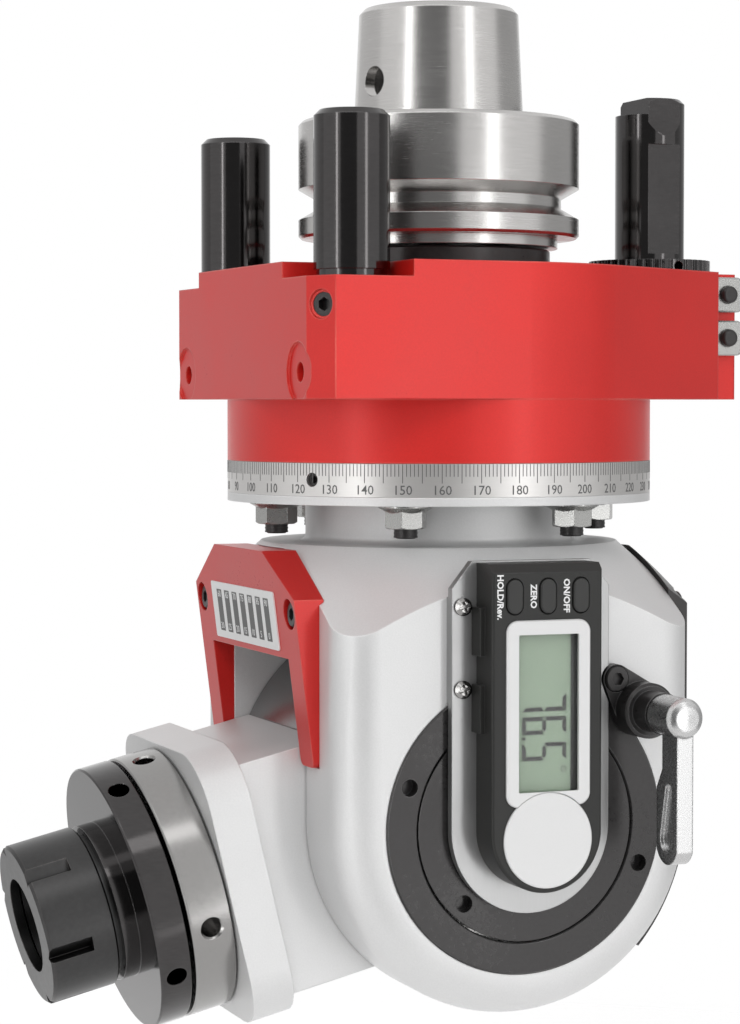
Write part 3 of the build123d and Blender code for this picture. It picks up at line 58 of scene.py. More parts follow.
class AngleHeadColours(bpy.types.PropertyGroup):
    """Colours of the head's finishes."""
    casting: bpy.props.FloatVectorProperty(
        name="Casting", description="Satin nickel of the housing and the arm", subtype="COLOR", size=3,
        default=(0.63, 0.63, 0.63), min=0, max=1)
    bright_steel: bpy.props.FloatVectorProperty(
        name="Bright steel", description="Ground shank, rings and screws", subtype="COLOR", size=3,
        default=(0.50, 0.49, 0.48), min=0, max=1)
    anodised_red: bpy.props.FloatVectorProperty(
        name="Anodised red", description="Stop block and slot guard", subtype="COLOR", size=3,
        default=(0.64, 0.018, 0.014), min=0, max=1)
    black_oxide: bpy.props.FloatVectorProperty(
        name="Black oxide", description="Pins, rings and covers", subtype="COLOR", size=3,
        default=(0.022, 0.021, 0.021), min=0, max=1)
    case_plastic: bpy.props.FloatVectorProperty(
        name="Case plastic", description="Case of the angle display", subtype="COLOR", size=3,
        default=(0.018, 0.018, 0.017), min=0, max=1)
    lcd: bpy.props.FloatVectorProperty(
        name="Display panel", description="Unlit liquid crystal", subtype="COLOR", size=3,
        default=(0.24, 0.305, 0.23), min=0, max=1)
    ink: bpy.props.FloatVectorProperty(
        name="Etched ink", description="Marks and numbers of the scale ring", subtype="COLOR", size=3,
        default=(0.09, 0.09, 0.09), min=0, max=1)


class AngleHeadSizes(bpy.types.PropertyGroup):
    """Sizes of the markings."""
    scale_count: bpy.props.IntProperty(
        name="Scale marks", description="Marks round the swivel scale", default=360, min=12, max=720)
    short_mark: bpy.props.FloatProperty(
        name="Short mark", description="Length of a one degree mark", default=2.6 * MM, unit="LENGTH")
    long_mark: bpy.props.FloatProperty(
        name="Long mark", description="Length of a five degree mark", default=4.0 * MM, unit="LENGTH")
    mark_width: bpy.props.FloatProperty(
        name="Mark width", description="Width of a mark", default=0.17 * MM, unit="LENGTH")
    number_height: bpy.props.FloatProperty(
        name="Number height", description="Height of the scale's numbers", default=1.95 * MM, unit="LENGTH")
    reading: bpy.props.StringProperty(
        name="Reading", description="Angle that the display shows", default="76.5")


def colours():
    """The head's colours in this scene."""
    return bpy.context.scene.angle_head_colours


def sizes():
    """The head's sizes in this scene."""
    return bpy.context.scene.angle_head_sizes


# Node helpers


def add_node(tree, kind, inputs=None, **settings):
    """Node with its settings, whose inputs are other nodes' sockets or plain values."""
    node = tree.nodes.new(kind)
    for label, value in settings.items():
        setattr(node, label, value)
    for label, value in (inputs or {}).items():
        if isinstance(value, bpy.types.NodeSocket):
            tree.links.new(value, node.inputs[label])
        else:
            node.inputs[label].default_value = value
    return node


def math_node(tree, operation, *values, clamp=False):
    """Result of a Math node on other nodes' sockets and plain numbers."""
    node = add_node(tree, "ShaderNodeMath", dict(enumerate(values)), operation=operation, use_clamp=clamp)
    return node.outputs[0]


def add_sockets(tree, side, rows):
    """Named sockets of a node group on its INPUT or OUTPUT side, with their kinds and defaults."""
    for label, kind, default in rows:
        socket = tree.interface.new_socket(label, in_out=side, socket_type="NodeSocket" + kind)
        if default is not None:
            socket.default_value = default


def new_material(name):
    """Empty node material with one Principled BSDF."""
    finish = bpy.data.materials.new(name)
    finish.use_nodes = True
    tree = finish.node_tree
    tree.nodes.clear()
    shader = tree.nodes.new("ShaderNodeBsdfPrincipled")
    add_node(tree, "ShaderNodeOutputMaterial", {"Surface": shader.outputs["BSDF"]})
    return finish, shader


def set_values(shader, values):
    """Sets a shader's own sockets."""
    for label, value in values.items():
        shader.inputs[label].default_value = value


# Finishes


def grey(value):
    """Neutral colour of that brightness."""
    return (value, value, value)


def shaded(color, factor):
    """Colour made darker or paler by a factor."""
    return tuple(min(1, value * factor) for value in color)


def worked_surface():
    """Node group for machined, cast and moulded surfaces: grain, blotches, and rounded edges painted paler,
    partly as wear and partly as a painted highlight.
    """
    name = "worked_surface"
    if name in bpy.data.node_groups:
        return bpy.data.node_groups[name]
    group = bpy.data.node_groups.new(name, "ShaderNodeTree")
    add_sockets(group, "INPUT", (
        ("Color", "Color", (0.5, 0.5, 0.5, 1)), ("Worn Sheen Color", "Color", (0.7, 0.7, 0.7, 1)),
        ("Stretch", "Vector", (1, 1, 1)), ("Grain Scale", "Float", 800.0), ("Color Variation", "Float", 0.1),
        ("Roughness", "Float", 0.4), ("Roughness Variation", "Float", 0.1), ("Bump", "Float", 0.1),
        ("Edge Radius", "Float", 0.3 * MM), ("Edge Sheen And Wear", "Float", 0.3)))
    add_sockets(group, "OUTPUT", (
        ("Color", "Color", None), ("Roughness", "Float", None), ("Normal", "Vector", None)))
    given = group.nodes.new("NodeGroupInput").outputs

    # Fine grain and wide blotches, together from about -1 to 1.
    place = group.nodes.new("ShaderNodeTexCoord").outputs["Object"]
    stretched = add_node(group, "ShaderNodeMapping", {"Vector": place, "Scale": given["Stretch"]})
    grain = add_node(group, "ShaderNodeTexNoise", {
        "Vector": stretched.outputs["Vector"], "Scale": given["Grain Scale"], "Detail": 4.0}).outputs["Fac"]
    blotch = add_node(group, "ShaderNodeTexNoise", {
        "Vector": place, "Scale": 45.0, "Detail": 3.0}).outputs["Fac"]
    centred = math_node(group, "SUBTRACT", math_node(group, "ADD", grain, blotch), 1.0)
    shade = math_node(group, "MULTIPLY_ADD", centred, given["Color Variation"], 1.0)
    tinted = add_node(group, "ShaderNodeVectorMath", {0: given["Color"], "Scale": shade}, operation="SCALE")

    # Wear and painted highlight where the rounded edge turns away from the flat face, in patches: the edge is
    # painted in the paler colour.
    rounded = add_node(group, "ShaderNodeBevel", {
        "Radius": given["Edge Radius"]}, samples=4).outputs["Normal"]
    flat = group.nodes.new("ShaderNodeNewGeometry").outputs["Normal"]
    facing = add_node(group, "ShaderNodeVectorMath", {0: rounded, 1: flat}, operation="DOT_PRODUCT")
    edge = add_node(group, "ShaderNodeMapRange", {
        "Value": facing.outputs["Value"], "From Min": 0.995, "From Max": 0.965}).outputs["Result"]
    uneven = add_node(group, "ShaderNodeMapRange", {
        "Value": blotch, "From Min": 0.35, "From Max": 0.65}).outputs["Result"]
    wear_and_sheen_mask = math_node(group, "MULTIPLY", math_node(group, "MULTIPLY", edge, given["Edge Sheen And Wear"]), uneven)
    color = add_node(group, "ShaderNodeMix", {
        "Factor": wear_and_sheen_mask, "A": tinted.outputs["Vector"], "B": given["Worn Sheen Color"]}, data_type="RGBA")

    rough = math_node(
        group, "MULTIPLY_ADD", centred, given["Roughness Variation"], given["Roughness"], clamp=True)
    bump = add_node(group, "ShaderNodeBump", {
        "Distance": 0.05 * MM, "Strength": given["Bump"], "Height": grain, "Normal": rounded})
    add_node(group, "NodeGroupOutput", {
        "Color": color.outputs["Result"], "Roughness": rough, "Normal": bump.outputs["Normal"]})
    return group


def finish_material(
        name, color, metallic, roughness, wear_sheen_color=None, stretch=(1, 1, 1), grain=800.0, variation=0.1,
        roughness_variation=0.1, bump=0.1, edge=0.3, wear_sheen=0.3, specular=0.5):
    """A finish made with the shared surface group and its own values; its edge radius is in mm."""
    if name in bpy.data.materials:
        return bpy.data.materials[name]
    finish, shader = new_material(name)
    tree = finish.node_tree
    surface = add_node(tree, "ShaderNodeGroup", {
        "Color": (*color, 1), "Worn Sheen Color": (*(wear_sheen_color or color), 1), "Stretch": stretch, "Grain Scale": grain,
        "Color Variation": variation, "Roughness": roughness, "Roughness Variation": roughness_variation,
        "Bump": bump, "Edge Radius": edge * MM, "Edge Sheen And Wear": wear_sheen}, node_tree=worked_surface())
    for label, socket in (("Color", "Base Color"), ("Roughness", "Roughness"), ("Normal", "Normal")):
        tree.links.new(surface.outputs[label], shader.inputs[socket])
    set_values(shader, {"Metallic": metallic, "Specular IOR Level": specular})
    return finish


def ink_material(name, color, roughness=0.5):
    """Printed or etched ink."""
    return finish_material(
        name, color, metallic=0.0, roughness=roughness, grain=3000.0, variation=0.15, bump=0.03, edge=0.02,
        wear_sheen=0.0)


def polish_drum(finish):
    """Makes a finish darker and polished within the drum's radius of the tilt axis."""
    clearance = 0.2 * MM
    drum_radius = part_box("arm_housing")[1][0] + clearance
    axis_height = JOINTS["tilt"]["pos_m"][2]
    tree = finish.node_tree
    shader = next(n for n in tree.nodes if n.type == "BSDF_PRINCIPLED")
    surface = next(n for n in tree.nodes if n.type == "GROUP").outputs
    place = tree.nodes.new("ShaderNodeTexCoord").outputs["Object"]
    from_axis = add_node(tree, "ShaderNodeVectorMath", {
        0: place, 1: (1, 0, 1), 2: (0, 0, -axis_height)}, operation="MULTIPLY_ADD")
    reach = add_node(tree, "ShaderNodeVectorMath", {0: from_axis.outputs["Vector"]}, operation="LENGTH")
    inside = math_node(tree, "LESS_THAN", reach.outputs["Value"], drum_radius)
    darker = (*grey(0.42), 1)
    tint = add_node(tree, "ShaderNodeMix", {
        "Factor": inside, "A": surface["Color"], "B": darker}, data_type="RGBA", blend_type="MULTIPLY")
    tree.links.new(tint.outputs["Result"], shader.inputs["Base Color"])
    for label, cast, polished in (
            ("Metallic", shader.inputs["Metallic"].default_value, 1.0),
            ("Roughness", surface["Roughness"], 0.22)):
        choice = add_node(tree, "ShaderNodeMix", {"Factor": inside, "A": cast, "B": polished})
        tree.links.new(choice.outputs["Result"], shader.inputs[label])


def dress(names, finish):
    """Gives CAD nodes a finish."""
    for name in names:
        mesh = NODES[name].data
        mesh.materials.clear()
        mesh.materials.append(finish)


# Meshes


def add_object(name, data):
    """Object that holds the data, linked to the scene."""
    thing = bpy.data.objects.new(name, data)
    bpy.context.scene.collection.objects.link(thing)
    return thing


def new_piece(name, mesh, body, finish):
    """A finished mesh as an object that rides on a body."""
    mesh.name = name
    mesh.materials.clear()
    mesh.materials.append(finish)
    piece = add_object(name, mesh)
    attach(piece, body)
    return piece


def plain_mesh(builder, name):
    """Mesh of a bmesh, which is freed."""
    mesh = bpy.data.meshes.new(name)
    builder.to_mesh(mesh)
    builder.free()
    return mesh


def evaluated_mesh(holder):
    """Plain mesh of an object as its modifiers or text make it; the object is removed."""
    ready = bpy.context.evaluated_depsgraph_get()
    mesh = bpy.data.meshes.new_from_object(holder.evaluated_get(ready))
    bpy.data.objects.remove(holder)
    return mesh


def joined(meshes):
    """One mesh from several."""
    builder = bmesh.new()
    for mesh in meshes:
        builder.from_mesh(mesh)
        bpy.data.meshes.remove(mesh)
    return plain_mesh(builder, "joined")


def words_mesh(words, height, depth, bold=0.0):
    """Raised words in the XY plane, centred, with capitals of that height."""
    capital_share = 0.7
    curve = bpy.data.curves.new("words", "FONT")
    curve.body = words
    curve.align_x = "CENTER"
    curve.align_y = "CENTER"
    curve.size = height / capital_share
    curve.extrude = depth / 2
    curve.offset = bold
    curve.resolution_u = 2
    mesh = evaluated_mesh(add_object("words", curve))
    bpy.data.curves.remove(curve)
    return mesh


def slab_mesh(width, height, depth, middle=(0, 0)):
    """Thin rectangular bar in the XY plane."""
    builder = bmesh.new()
    bmesh.ops.create_cube(builder, size=1.0)
    bmesh.ops.scale(builder, vec=(width, height, depth), verts=builder.verts)
    bmesh.ops.translate(builder, vec=(middle[0], middle[1], 0), verts=builder.verts)
    return plain_mesh(builder, "slab")


def prism_mesh(outline, depth):
    """Flat shape of that depth from its outline in the XY plane."""
    builder = bmesh.new()
    lower = [builder.verts.new((x, y, -depth / 2)) for x, y in outline]
    upper = [builder.verts.new((x, y, depth / 2)) for x, y in outline]
    builder.faces.new(list(reversed(lower)))
    builder.faces.new(upper)
    count = len(outline)
    for n in range(count):
        m = (n + 1) % count
        builder.faces.new((lower[n], lower[m], upper[m], upper[n]))
    bmesh.ops.recalc_face_normals(builder, faces=builder.faces)
    return plain_mesh(builder, "prism")


def tree_mesh(tree, values):
    """Plain mesh made by a Geometry Nodes tree with those input values."""
    holder = add_object("holder", bpy.data.meshes.new("holder"))
    modifier = holder.modifiers.new("tree", "NODES")
    modifier.node_group = tree
    for socket in tree.interface.items_tree:
        if socket.in_out == "INPUT" and socket.name in values:
            modifier[socket.identifier] = values[socket.name]
    return evaluated_mesh(holder)


def placed(right, out, middle):
    """Turn and place of a flat mesh whose X goes to the right and whose Z goes out."""
    up = out.cross(right)
    return Matrix((
        (right.x, up.x, out.x, middle[0]), (right.y, up.y, out.y, middle[1]),
        (right.z, up.z, out.z, middle[2]), (0, 0, 0, 1)))


def on_display(x, y, z, turned=False):
    """Place of a flat mesh on the display's side; turned words read from top to bottom."""
    right = Vector((0, 0, -1)) if turned else Vector((1, 0, 0))
    return placed(right, Vector((0, -1, 0)), (x, y, z))


def middle_of(low, high):
    """Middle of a box."""
    return (Vector(low) + Vector(high)) / 2


# Operators for the finishes of the CAD pieces


class ANGLEHEAD_OT_castings(bpy.types.Operator):
    """Satin finish of the housing, the arm and the display's bracket"""
    bl_idname = "anglehead.castings"
    bl_label = "Castings"

    def execute(self, context):
        casting = tuple(colours().casting)
        # Its paler edges are partly wear and partly a painted highlight along the housing's creases.
        satin = finish_material(
            "satin_nickel", casting, metallic=0.30, roughness=0.43, wear_sheen_color=grey(0.92), grain=2800.0,
            variation=0.14, roughness_variation=0.16, bump=0.35, edge=0.45, wear_sheen=0.8)
        dress(["housing"], satin)
        arm = satin.copy()
        arm.name = "satin_arm"
        polish_drum(arm)
        dress(["arm_housing"], arm)
        plate = finish_material(
            "milled_plate", shaded(casting, 0.55), metallic=0.8, roughness=0.34, wear_sheen_color=grey(0.8),
            stretch=(1, 1, 0.08), grain=2200.0, variation=0.12, roughness_variation=0.15, bump=0.15,
            edge=0.25, wear_sheen=0.4)
        dress(["display_bracket"], plate)
        return {"FINISHED"}


class ANGLEHEAD_OT_red_parts(bpy.types.Operator):
    """Red anodised stop block and slot guard"""
    bl_idname = "anglehead.red_parts"
    bl_label = "Red parts"

    def execute(self, context):
        red = tuple(colours().anodised_red)
        # Its paler red edges are partly wear and partly a painted highlight.
        block = finish_material(
            "anodised_block", red, metallic=0.15, roughness=0.33, wear_sheen_color=(0.85, 0.20, 0.16), grain=2600.0,
            variation=0.20, roughness_variation=0.14, bump=0.16, edge=0.5, wear_sheen=0.8, specular=0.42)
        dress(["stop_block"], block)
        guard = finish_material(
            "anodised_guard", shaded(red, 0.85), metallic=0.15, roughness=0.32, wear_sheen_color=(0.75, 0.16, 0.13),
            grain=2600.0, variation=0.20, roughness_variation=0.14, bump=0.16, edge=0.35, wear_sheen=0.6)
        dress(["slot_guard"], guard)
        return {"FINISHED"}


class ANGLEHEAD_OT_black_parts(bpy.types.Operator):
    """Black oxide pins, rings, covers and screws"""
    bl_idname = "anglehead.black_parts"
    bl_label = "Black parts"

    def execute(self, context):
        black = tuple(colours().black_oxide)
        turned = finish_material(
            "black_turned", shaded(black, 3.2), metallic=1.0, roughness=0.12, wear_sheen_color=grey(0.22),
            stretch=(1, 1, 6.0), grain=500.0, variation=0.35, roughness_variation=0.08, bump=0.03, edge=0.25,
            wear_sheen=0.45)
        dress(["front_torque_pin", "rear_torque_pin", "index_pin", "index_pin_collar",
               "spanner_ring"], turned)
        ring = finish_material(
            "black_ring", shaded(black, 1.6), metallic=0.6, roughness=0.33, wear_sheen_color=grey(0.25), grain=900.0,
            variation=0.7, roughness_variation=0.30, bump=0.06, edge=0.25, wear_sheen=0.6)
        dress(["pivot_ring", "rear_pivot_cap", "pivot_disc", "side_cover", "bearing_cap", "clamp_link"], ring)
        hardened = tuple(value * factor for value, factor in zip(black, (2.7, 2.8, 2.8)))
        nut = finish_material(
            "hardened_black", hardened, metallic=1.0, roughness=0.33, wear_sheen_color=(0.22, 0.20, 0.19), grain=900.0,
            variation=0.3, roughness_variation=0.10, bump=0.04, edge=0.25, wear_sheen=0.45)
        # The output spindle shows only in the narrow gap between the spanner ring and the collet nut, and
        # gets the collet nut's dark finish.
        dress(["collet_nut", "output_spindle"], nut)
        screws = finish_material(
            "black_screws", shaded(black, 1.6), metallic=0.5, roughness=0.35, wear_sheen_color=grey(0.2), grain=1600.0,
            variation=0.2, bump=0.06, edge=0.12, wear_sheen=0.4)
        dress(["pin_grub_screws", "clamp_pad_screws", "swivel_studs", "scale_ring_screw", "guard_screws",
               "cover_screws", "link_screw"], screws)
        return {"FINISHED"}


class ANGLEHEAD_OT_bright_parts(bpy.types.Operator):
    """Ground and turned bright steel"""
    bl_idname = "anglehead.bright_parts"
    bl_label = "Bright steel"

    def execute(self, context):
        steel = tuple(colours().bright_steel)
        turned = finish_material(
            "turned_steel", steel, metallic=1.0, roughness=0.24, wear_sheen_color=(0.75, 0.75, 0.74),
            stretch=(0.3, 0.3, 14.0), grain=700.0, variation=0.22, roughness_variation=0.16, bump=0.10,
            edge=0.3, wear_sheen=0.4)
        dress(["input_shaft"], turned)
        ground = finish_material(
            "ground_steel", shaded(steel, 1.3), metallic=1.0, roughness=0.28, wear_sheen_color=grey(0.8), grain=900.0,
            variation=0.12, roughness_variation=0.12, bump=0.06, edge=0.2, wear_sheen=0.3)
        dress(["input_outer_races", "tilt_outer_races", "idler_outer_races", "input_inner_races",
               "idler_inner_races", "tilt_inner_races", "spindle_outer_races", "spindle_inner_races",
               "ball_cages", "shaft_spacer", "outer_spacer", "encoder_shaft", "clamp_stud",
               "coin_cell"], ground)
        nut = finish_material(
            "turned_nut", shaded(steel, 0.58), metallic=1.0, roughness=0.20, wear_sheen_color=grey(0.6), grain=1200.0,
            variation=0.10, roughness_variation=0.06, bump=0.01, edge=0.2, wear_sheen=0.3)
        dress(["bearing_nut", "bracket_screws"], nut)
        gears = finish_material(
            "gear_steel", shaded(steel, 0.9), metallic=1.0, roughness=0.3, wear_sheen_color=grey(0.7), grain=1500.0,
            variation=0.15, bump=0.08, edge=0.15, wear_sheen=0.3)
        dress(["input_pinion", "idler_gear", "output_pinion"], gears)
        ring = finish_material(
            "scale_steel", shaded(steel, 1.15), metallic=0.85, roughness=0.36, wear_sheen_color=grey(0.75),
            stretch=(0.3, 0.3, 10.0), grain=900.0, variation=0.12, roughness_variation=0.12, bump=0.08,
            edge=0.15, wear_sheen=0.3)
        dress(["scale_ring"], ring)
        plated = finish_material(
            "zinc_plate", (0.38, 0.38, 0.37), metallic=0.9, roughness=0.28, wear_sheen_color=grey(0.7), grain=2000.0,
            variation=0.15, bump=0.04, edge=0.25, wear_sheen=0.3)
        dress(["clamp_pads", "swivel_nuts"], plated)
        lever = finish_material(
            "satin_chrome", grey(0.50), metallic=1.0, roughness=0.27, wear_sheen_color=grey(0.75), grain=2600.0,
            variation=0.06, roughness_variation=0.06, bump=0.03, edge=0.5, wear_sheen=0.1)
        dress(["clamp_lever"], lever)
        return {"FINISHED"}


def window_glass():
    """Clear window with fine dust on it."""
    glass, shader = new_material("clear_window")
    tree = glass.node_tree
    place = tree.nodes.new("ShaderNodeTexCoord").outputs["Object"]
    dust = add_node(tree, "ShaderNodeTexNoise", {"Vector": place, "Scale": 600.0})
    spread = add_node(tree, "ShaderNodeMapRange", {
        "Value": dust.outputs["Fac"], "To Min": 0.02, "To Max": 0.10})
    tree.links.new(spread.outputs["Result"], shader.inputs["Roughness"])
    set_values(shader, {
        "Base Color": (0.95, 0.97, 0.95, 1), "Transmission Weight": 1.0, "IOR": 1.30, "Alpha": 0.35})
    return glass


class ANGLEHEAD_OT_display(bpy.types.Operator):
    """Case, buttons, panel, window and board of the angle display, the label's plate and the seal"""
    bl_idname = "anglehead.display"
    bl_label = "Angle display"

    def execute(self, context):
        plastic = tuple(colours().case_plastic)
        case = finish_material(
            "moulded_case", plastic, metallic=0.0, roughness=0.40, wear_sheen_color=grey(0.12), grain=4200.0,
            variation=0.12, roughness_variation=0.06, bump=0.22, edge=0.3, wear_sheen=0.35, specular=0.28)
        dress(["display_case"], case)
        button = finish_material(
            "moulded_button", shaded(plastic, 0.9), metallic=0.0, roughness=0.42, wear_sheen_color=grey(0.1),
            grain=4200.0, variation=0.1, bump=0.15, edge=0.25, wear_sheen=0.3, specular=0.4)
        dress(["hold_button", "zero_button", "power_button"], button)
        silver = finish_material(
            "silver_print", grey(0.62), metallic=0.2, roughness=0.40, wear_sheen_color=grey(0.8), grain=3000.0,
            variation=0.04, bump=0.05, edge=0.12, wear_sheen=0.2)
        dress(["display_bezel", "display_badge"], silver)
        panel = finish_material(
            "liquid_crystal", tuple(colours().lcd), metallic=0.0, roughness=0.30, grain=3000.0,
            variation=0.05, bump=0.02, edge=0.05, wear_sheen=0.0, specular=0.3)
        dress(["display_panel"], panel)
        board = finish_material(
            "board_green", (0.02, 0.10, 0.05), metallic=0.0, roughness=0.5, wear_sheen_color=(0.3, 0.3, 0.1),
            grain=2500.0, variation=0.2, bump=0.1, edge=0.1, wear_sheen=0.2)
        dress(["display_board"], board)
        rubber = finish_material(
            "seal_rubber", grey(0.015), metallic=0.0, roughness=0.6, wear_sheen_color=grey(0.04), grain=3000.0,
            variation=0.2, bump=0.15, edge=0.2, wear_sheen=0.2)
        dress(["shaft_seal"], rubber)
        plate = finish_material(
            "label_plate", grey(0.78), metallic=0.15, roughness=0.42, wear_sheen_color=grey(0.9), grain=2600.0,
            variation=0.04, bump=0.04, edge=0.1, wear_sheen=0.2)
        dress(["angle_label"], plate)
        dress(["display_window"], window_glass())
        return {"FINISHED"}


# Operators for the threads and the markings


def thread_tree():
    """Geometry Nodes tree that stacks thin rings as thread crests on a circle of studs."""
    tree = bpy.data.node_groups.new("thread_crests", "GeometryNodeTree")
    add_sockets(tree, "OUTPUT", (("Geometry", "Geometry", None),))
    add_sockets(tree, "INPUT", (
        ("Studs", "Int", 6), ("Circle", "Float", 38.0 * MM), ("Crests", "Int", 3),
        ("Pitch", "Float", 0.8 * MM), ("Radius", "Float", 2.5 * MM), ("Thickness", "Float", 0.34 * MM),
        ("Ink", "Material", None)))
    given = tree.nodes.new("NodeGroupInput").outputs
    crest = add_node(tree, "GeometryNodeMeshCylinder", {
        "Vertices": 24, "Depth": given["Thickness"], "Radius": given["Radius"]})
    step = add_node(tree, "ShaderNodeCombineXYZ", {"Z": given["Pitch"]})
    stack = add_node(tree, "GeometryNodeMeshLine", {"Count": given["Crests"], "Offset": step.outputs[0]})
    stacked = add_node(tree, "GeometryNodeInstanceOnPoints", {
        "Points": stack.outputs["Mesh"], "Instance": crest.outputs["Mesh"]})
    circle = add_node(tree, "GeometryNodeMeshCircle", {"Vertices": given["Studs"], "Radius": given["Circle"]})
    spread = add_node(tree, "GeometryNodeInstanceOnPoints", {
        "Points": circle.outputs["Mesh"], "Instance": stacked.outputs["Instances"]})
    real = add_node(tree, "GeometryNodeRealizeInstances", {"Geometry": spread.outputs["Instances"]})
    inked = add_node(tree, "GeometryNodeSetMaterial", {
        "Geometry": real.outputs["Geometry"], "Material": given["Ink"]})
    add_node(tree, "NodeGroupOutput", {"Geometry": inked.outputs["Geometry"]})
    return tree


class ANGLEHEAD_OT_threads(bpy.types.Operator):
    """Thread crests on the ends of the swivel's studs"""
    bl_idname = "anglehead.threads"
    bl_label = "Stud threads"

    def execute(self, context):
        black = NODES["swivel_studs"].data.materials[0]
        first_stud = radians(-3.2)
        first_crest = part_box("swivel_studs")[0][2] + 0.4 * MM
        mesh = tree_mesh(thread_tree(), {
            "Studs": 6, "Circle": 38.0 * MM, "Crests": 3, "Pitch": 0.8 * MM, "Radius": 2.58 * MM,
            "Thickness": 0.34 * MM, "Ink": black})
        mesh.transform(Matrix.Translation((0, 0, first_crest)) @ Matrix.Rotation(first_stud, 4, "Z"))
        new_piece("stud_threads", mesh, "housing", black)
        return {"FINISHED"}


def scale_marks_tree():
    """Geometry Nodes tree that puts marks round a ring, every fifth of them long."""
    tree = bpy.data.node_groups.new("scale_marks", "GeometryNodeTree")
    add_sockets(tree, "OUTPUT", (("Geometry", "Geometry", None),))
    add_sockets(tree, "INPUT", (
        ("Count", "Int", 360), ("Radius", "Float", 47.5 * MM), ("Top", "Float", 0.0),
        ("Short", "Float", 2.6 * MM), ("Long", "Float", 4.0 * MM), ("Width", "Float", 0.2 * MM),
        ("Depth", "Float", 0.1 * MM), ("Ink", "Material", None)))
    given = tree.nodes.new("NodeGroupInput").outputs
    circle = add_node(tree, "GeometryNodeMeshCircle", {"Vertices": given["Count"], "Radius": given["Radius"]})
    number = tree.nodes.new("GeometryNodeInputIndex").outputs[0]
    is_long = math_node(tree, "LESS_THAN", math_node(tree, "MODULO", number, 5.0), 0.5)
    length = add_node(tree, "ShaderNodeMix", {
        "Factor": is_long, "A": given["Short"], "B": given["Long"]}, data_type="FLOAT").outputs["Result"]
    drop = math_node(tree, "ADD", math_node(tree, "MULTIPLY", length, -0.5), given["Top"])
    lift = add_node(tree, "ShaderNodeCombineXYZ", {"Z": drop})
    seated = add_node(tree, "GeometryNodeSetPosition", {
        "Geometry": circle.outputs["Mesh"], "Offset": lift.outputs[0]})
    bar = add_node(tree, "GeometryNodeMeshCube", {"Size": (1, 1, 1)})
    spread = add_node(tree, "ShaderNodeCombineXYZ", {"X": given["Depth"], "Y": given["Width"], "Z": length})
    where = tree.nodes.new("GeometryNodeInputPosition").outputs[0]
    outwards = add_node(tree, "ShaderNodeVectorMath", {0: where, 1: (1, 1, 0)}, operation="MULTIPLY")
    aim = add_node(tree, "FunctionNodeAlignEulerToVector", {
        "Vector": outwards.outputs["Vector"]}, axis="X", pivot_axis="Z")
    marks = add_node(tree, "GeometryNodeInstanceOnPoints", {
        "Points": seated.outputs["Geometry"], "Instance": bar.outputs["Mesh"],
        "Rotation": aim.outputs["Rotation"], "Scale": spread.outputs[0]})
    real = add_node(tree, "GeometryNodeRealizeInstances", {"Geometry": marks.outputs["Instances"]})
    inked = add_node(tree, "GeometryNodeSetMaterial", {
        "Geometry": real.outputs["Geometry"], "Material": given["Ink"]})
    add_node(tree, "NodeGroupOutput", {"Geometry": inked.outputs["Geometry"]})
    return tree


class ANGLEHEAD_OT_scale_marks(bpy.types.Operator):
    """Degree marks and numbers of the swivel scale"""
    bl_idname = "anglehead.scale_marks"
    bl_label = "Swivel scale"

    def execute(self, context):
        ink = ink_material("etched_ink", tuple(colours().ink))
        zero_turn = radians(-271.75)
        ink_depth, bold = 0.04 * MM, 0.012 * MM
        margin, number_drop = 0.05 * MM, 5.6 * MM
        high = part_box("scale_ring")[1]
        radius, top = high[0], high[2]
        marks = tree_mesh(scale_marks_tree(), {
            "Count": sizes().scale_count, "Radius": radius, "Top": top - margin, "Short": sizes().short_mark,
            "Long": sizes().long_mark, "Width": sizes().mark_width, "Depth": ink_depth, "Ink": ink})
        marks.transform(Matrix.Rotation(zero_turn, 4, "Z"))
        new_piece("scale_marks", marks, "housing", ink)
        numbers = []
        for value in range(0, 360, 10):
            digits = words_mesh(str(value), sizes().number_height, ink_depth, bold)
            for vertex in digits.vertices:
                x, y, z = vertex.co
                angle = radians(value) + zero_turn + x / radius
                reach = radius + z
                vertex.co = (reach * cos(angle), reach * sin(angle), top - number_drop + y)
            numbers.append(digits)
        new_piece("scale_numbers", joined(numbers), "housing", ink)
        return {"FINISHED"}


class ANGLEHEAD_OT_angle_label(bpy.types.Operator):
    """Bars and numbers printed on the guard's label"""
    bl_idname = "anglehead.angle_label"
    bl_label = "Angle label"

    def execute(self, context):
        dark = ink_material("label_ink", grey(0.10))
        pale = ink_material("label_pale_ink", grey(0.75))
        lean = radians(7.2)
        out = Vector((-cos(lean), 0, -sin(lean)))
        face = middle_of(*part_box("angle_label")) + out * 0.17 * MM
        place = placed(Vector((0, -1, 0)), out, face)
        count, pitch, bar_width, bar_height, bar_depth = 7, 5.3 * MM, 3.2 * MM, 9.4 * MM, 0.03 * MM
        number_height, number_depth, bold = 1.45 * MM, 0.05 * MM, 0.015 * MM
        number_rise, number_lift = 3.6 * MM, 0.02 * MM
        bars, numbers = [], []
        for n in range(count):
            x = (n - (count - 1) / 2) * pitch
            bars.append(slab_mesh(bar_width, bar_height, bar_depth, (x, 0)))
            for value, y in ((60 + 5 * n, number_rise), (30 - 5 * n, -number_rise)):
                number = words_mesh(str(value), number_height, number_depth, bold)
                number.transform(Matrix.Translation((x, y, number_lift)))
                numbers.append(number)
        for meshes, name, ink in ((bars, "label_bars", dark), (numbers, "label_numbers", pale)):
            mesh = joined(meshes)
            mesh.transform(place)
            new_piece(name, mesh, "housing", ink)
        return {"FINISHED"}


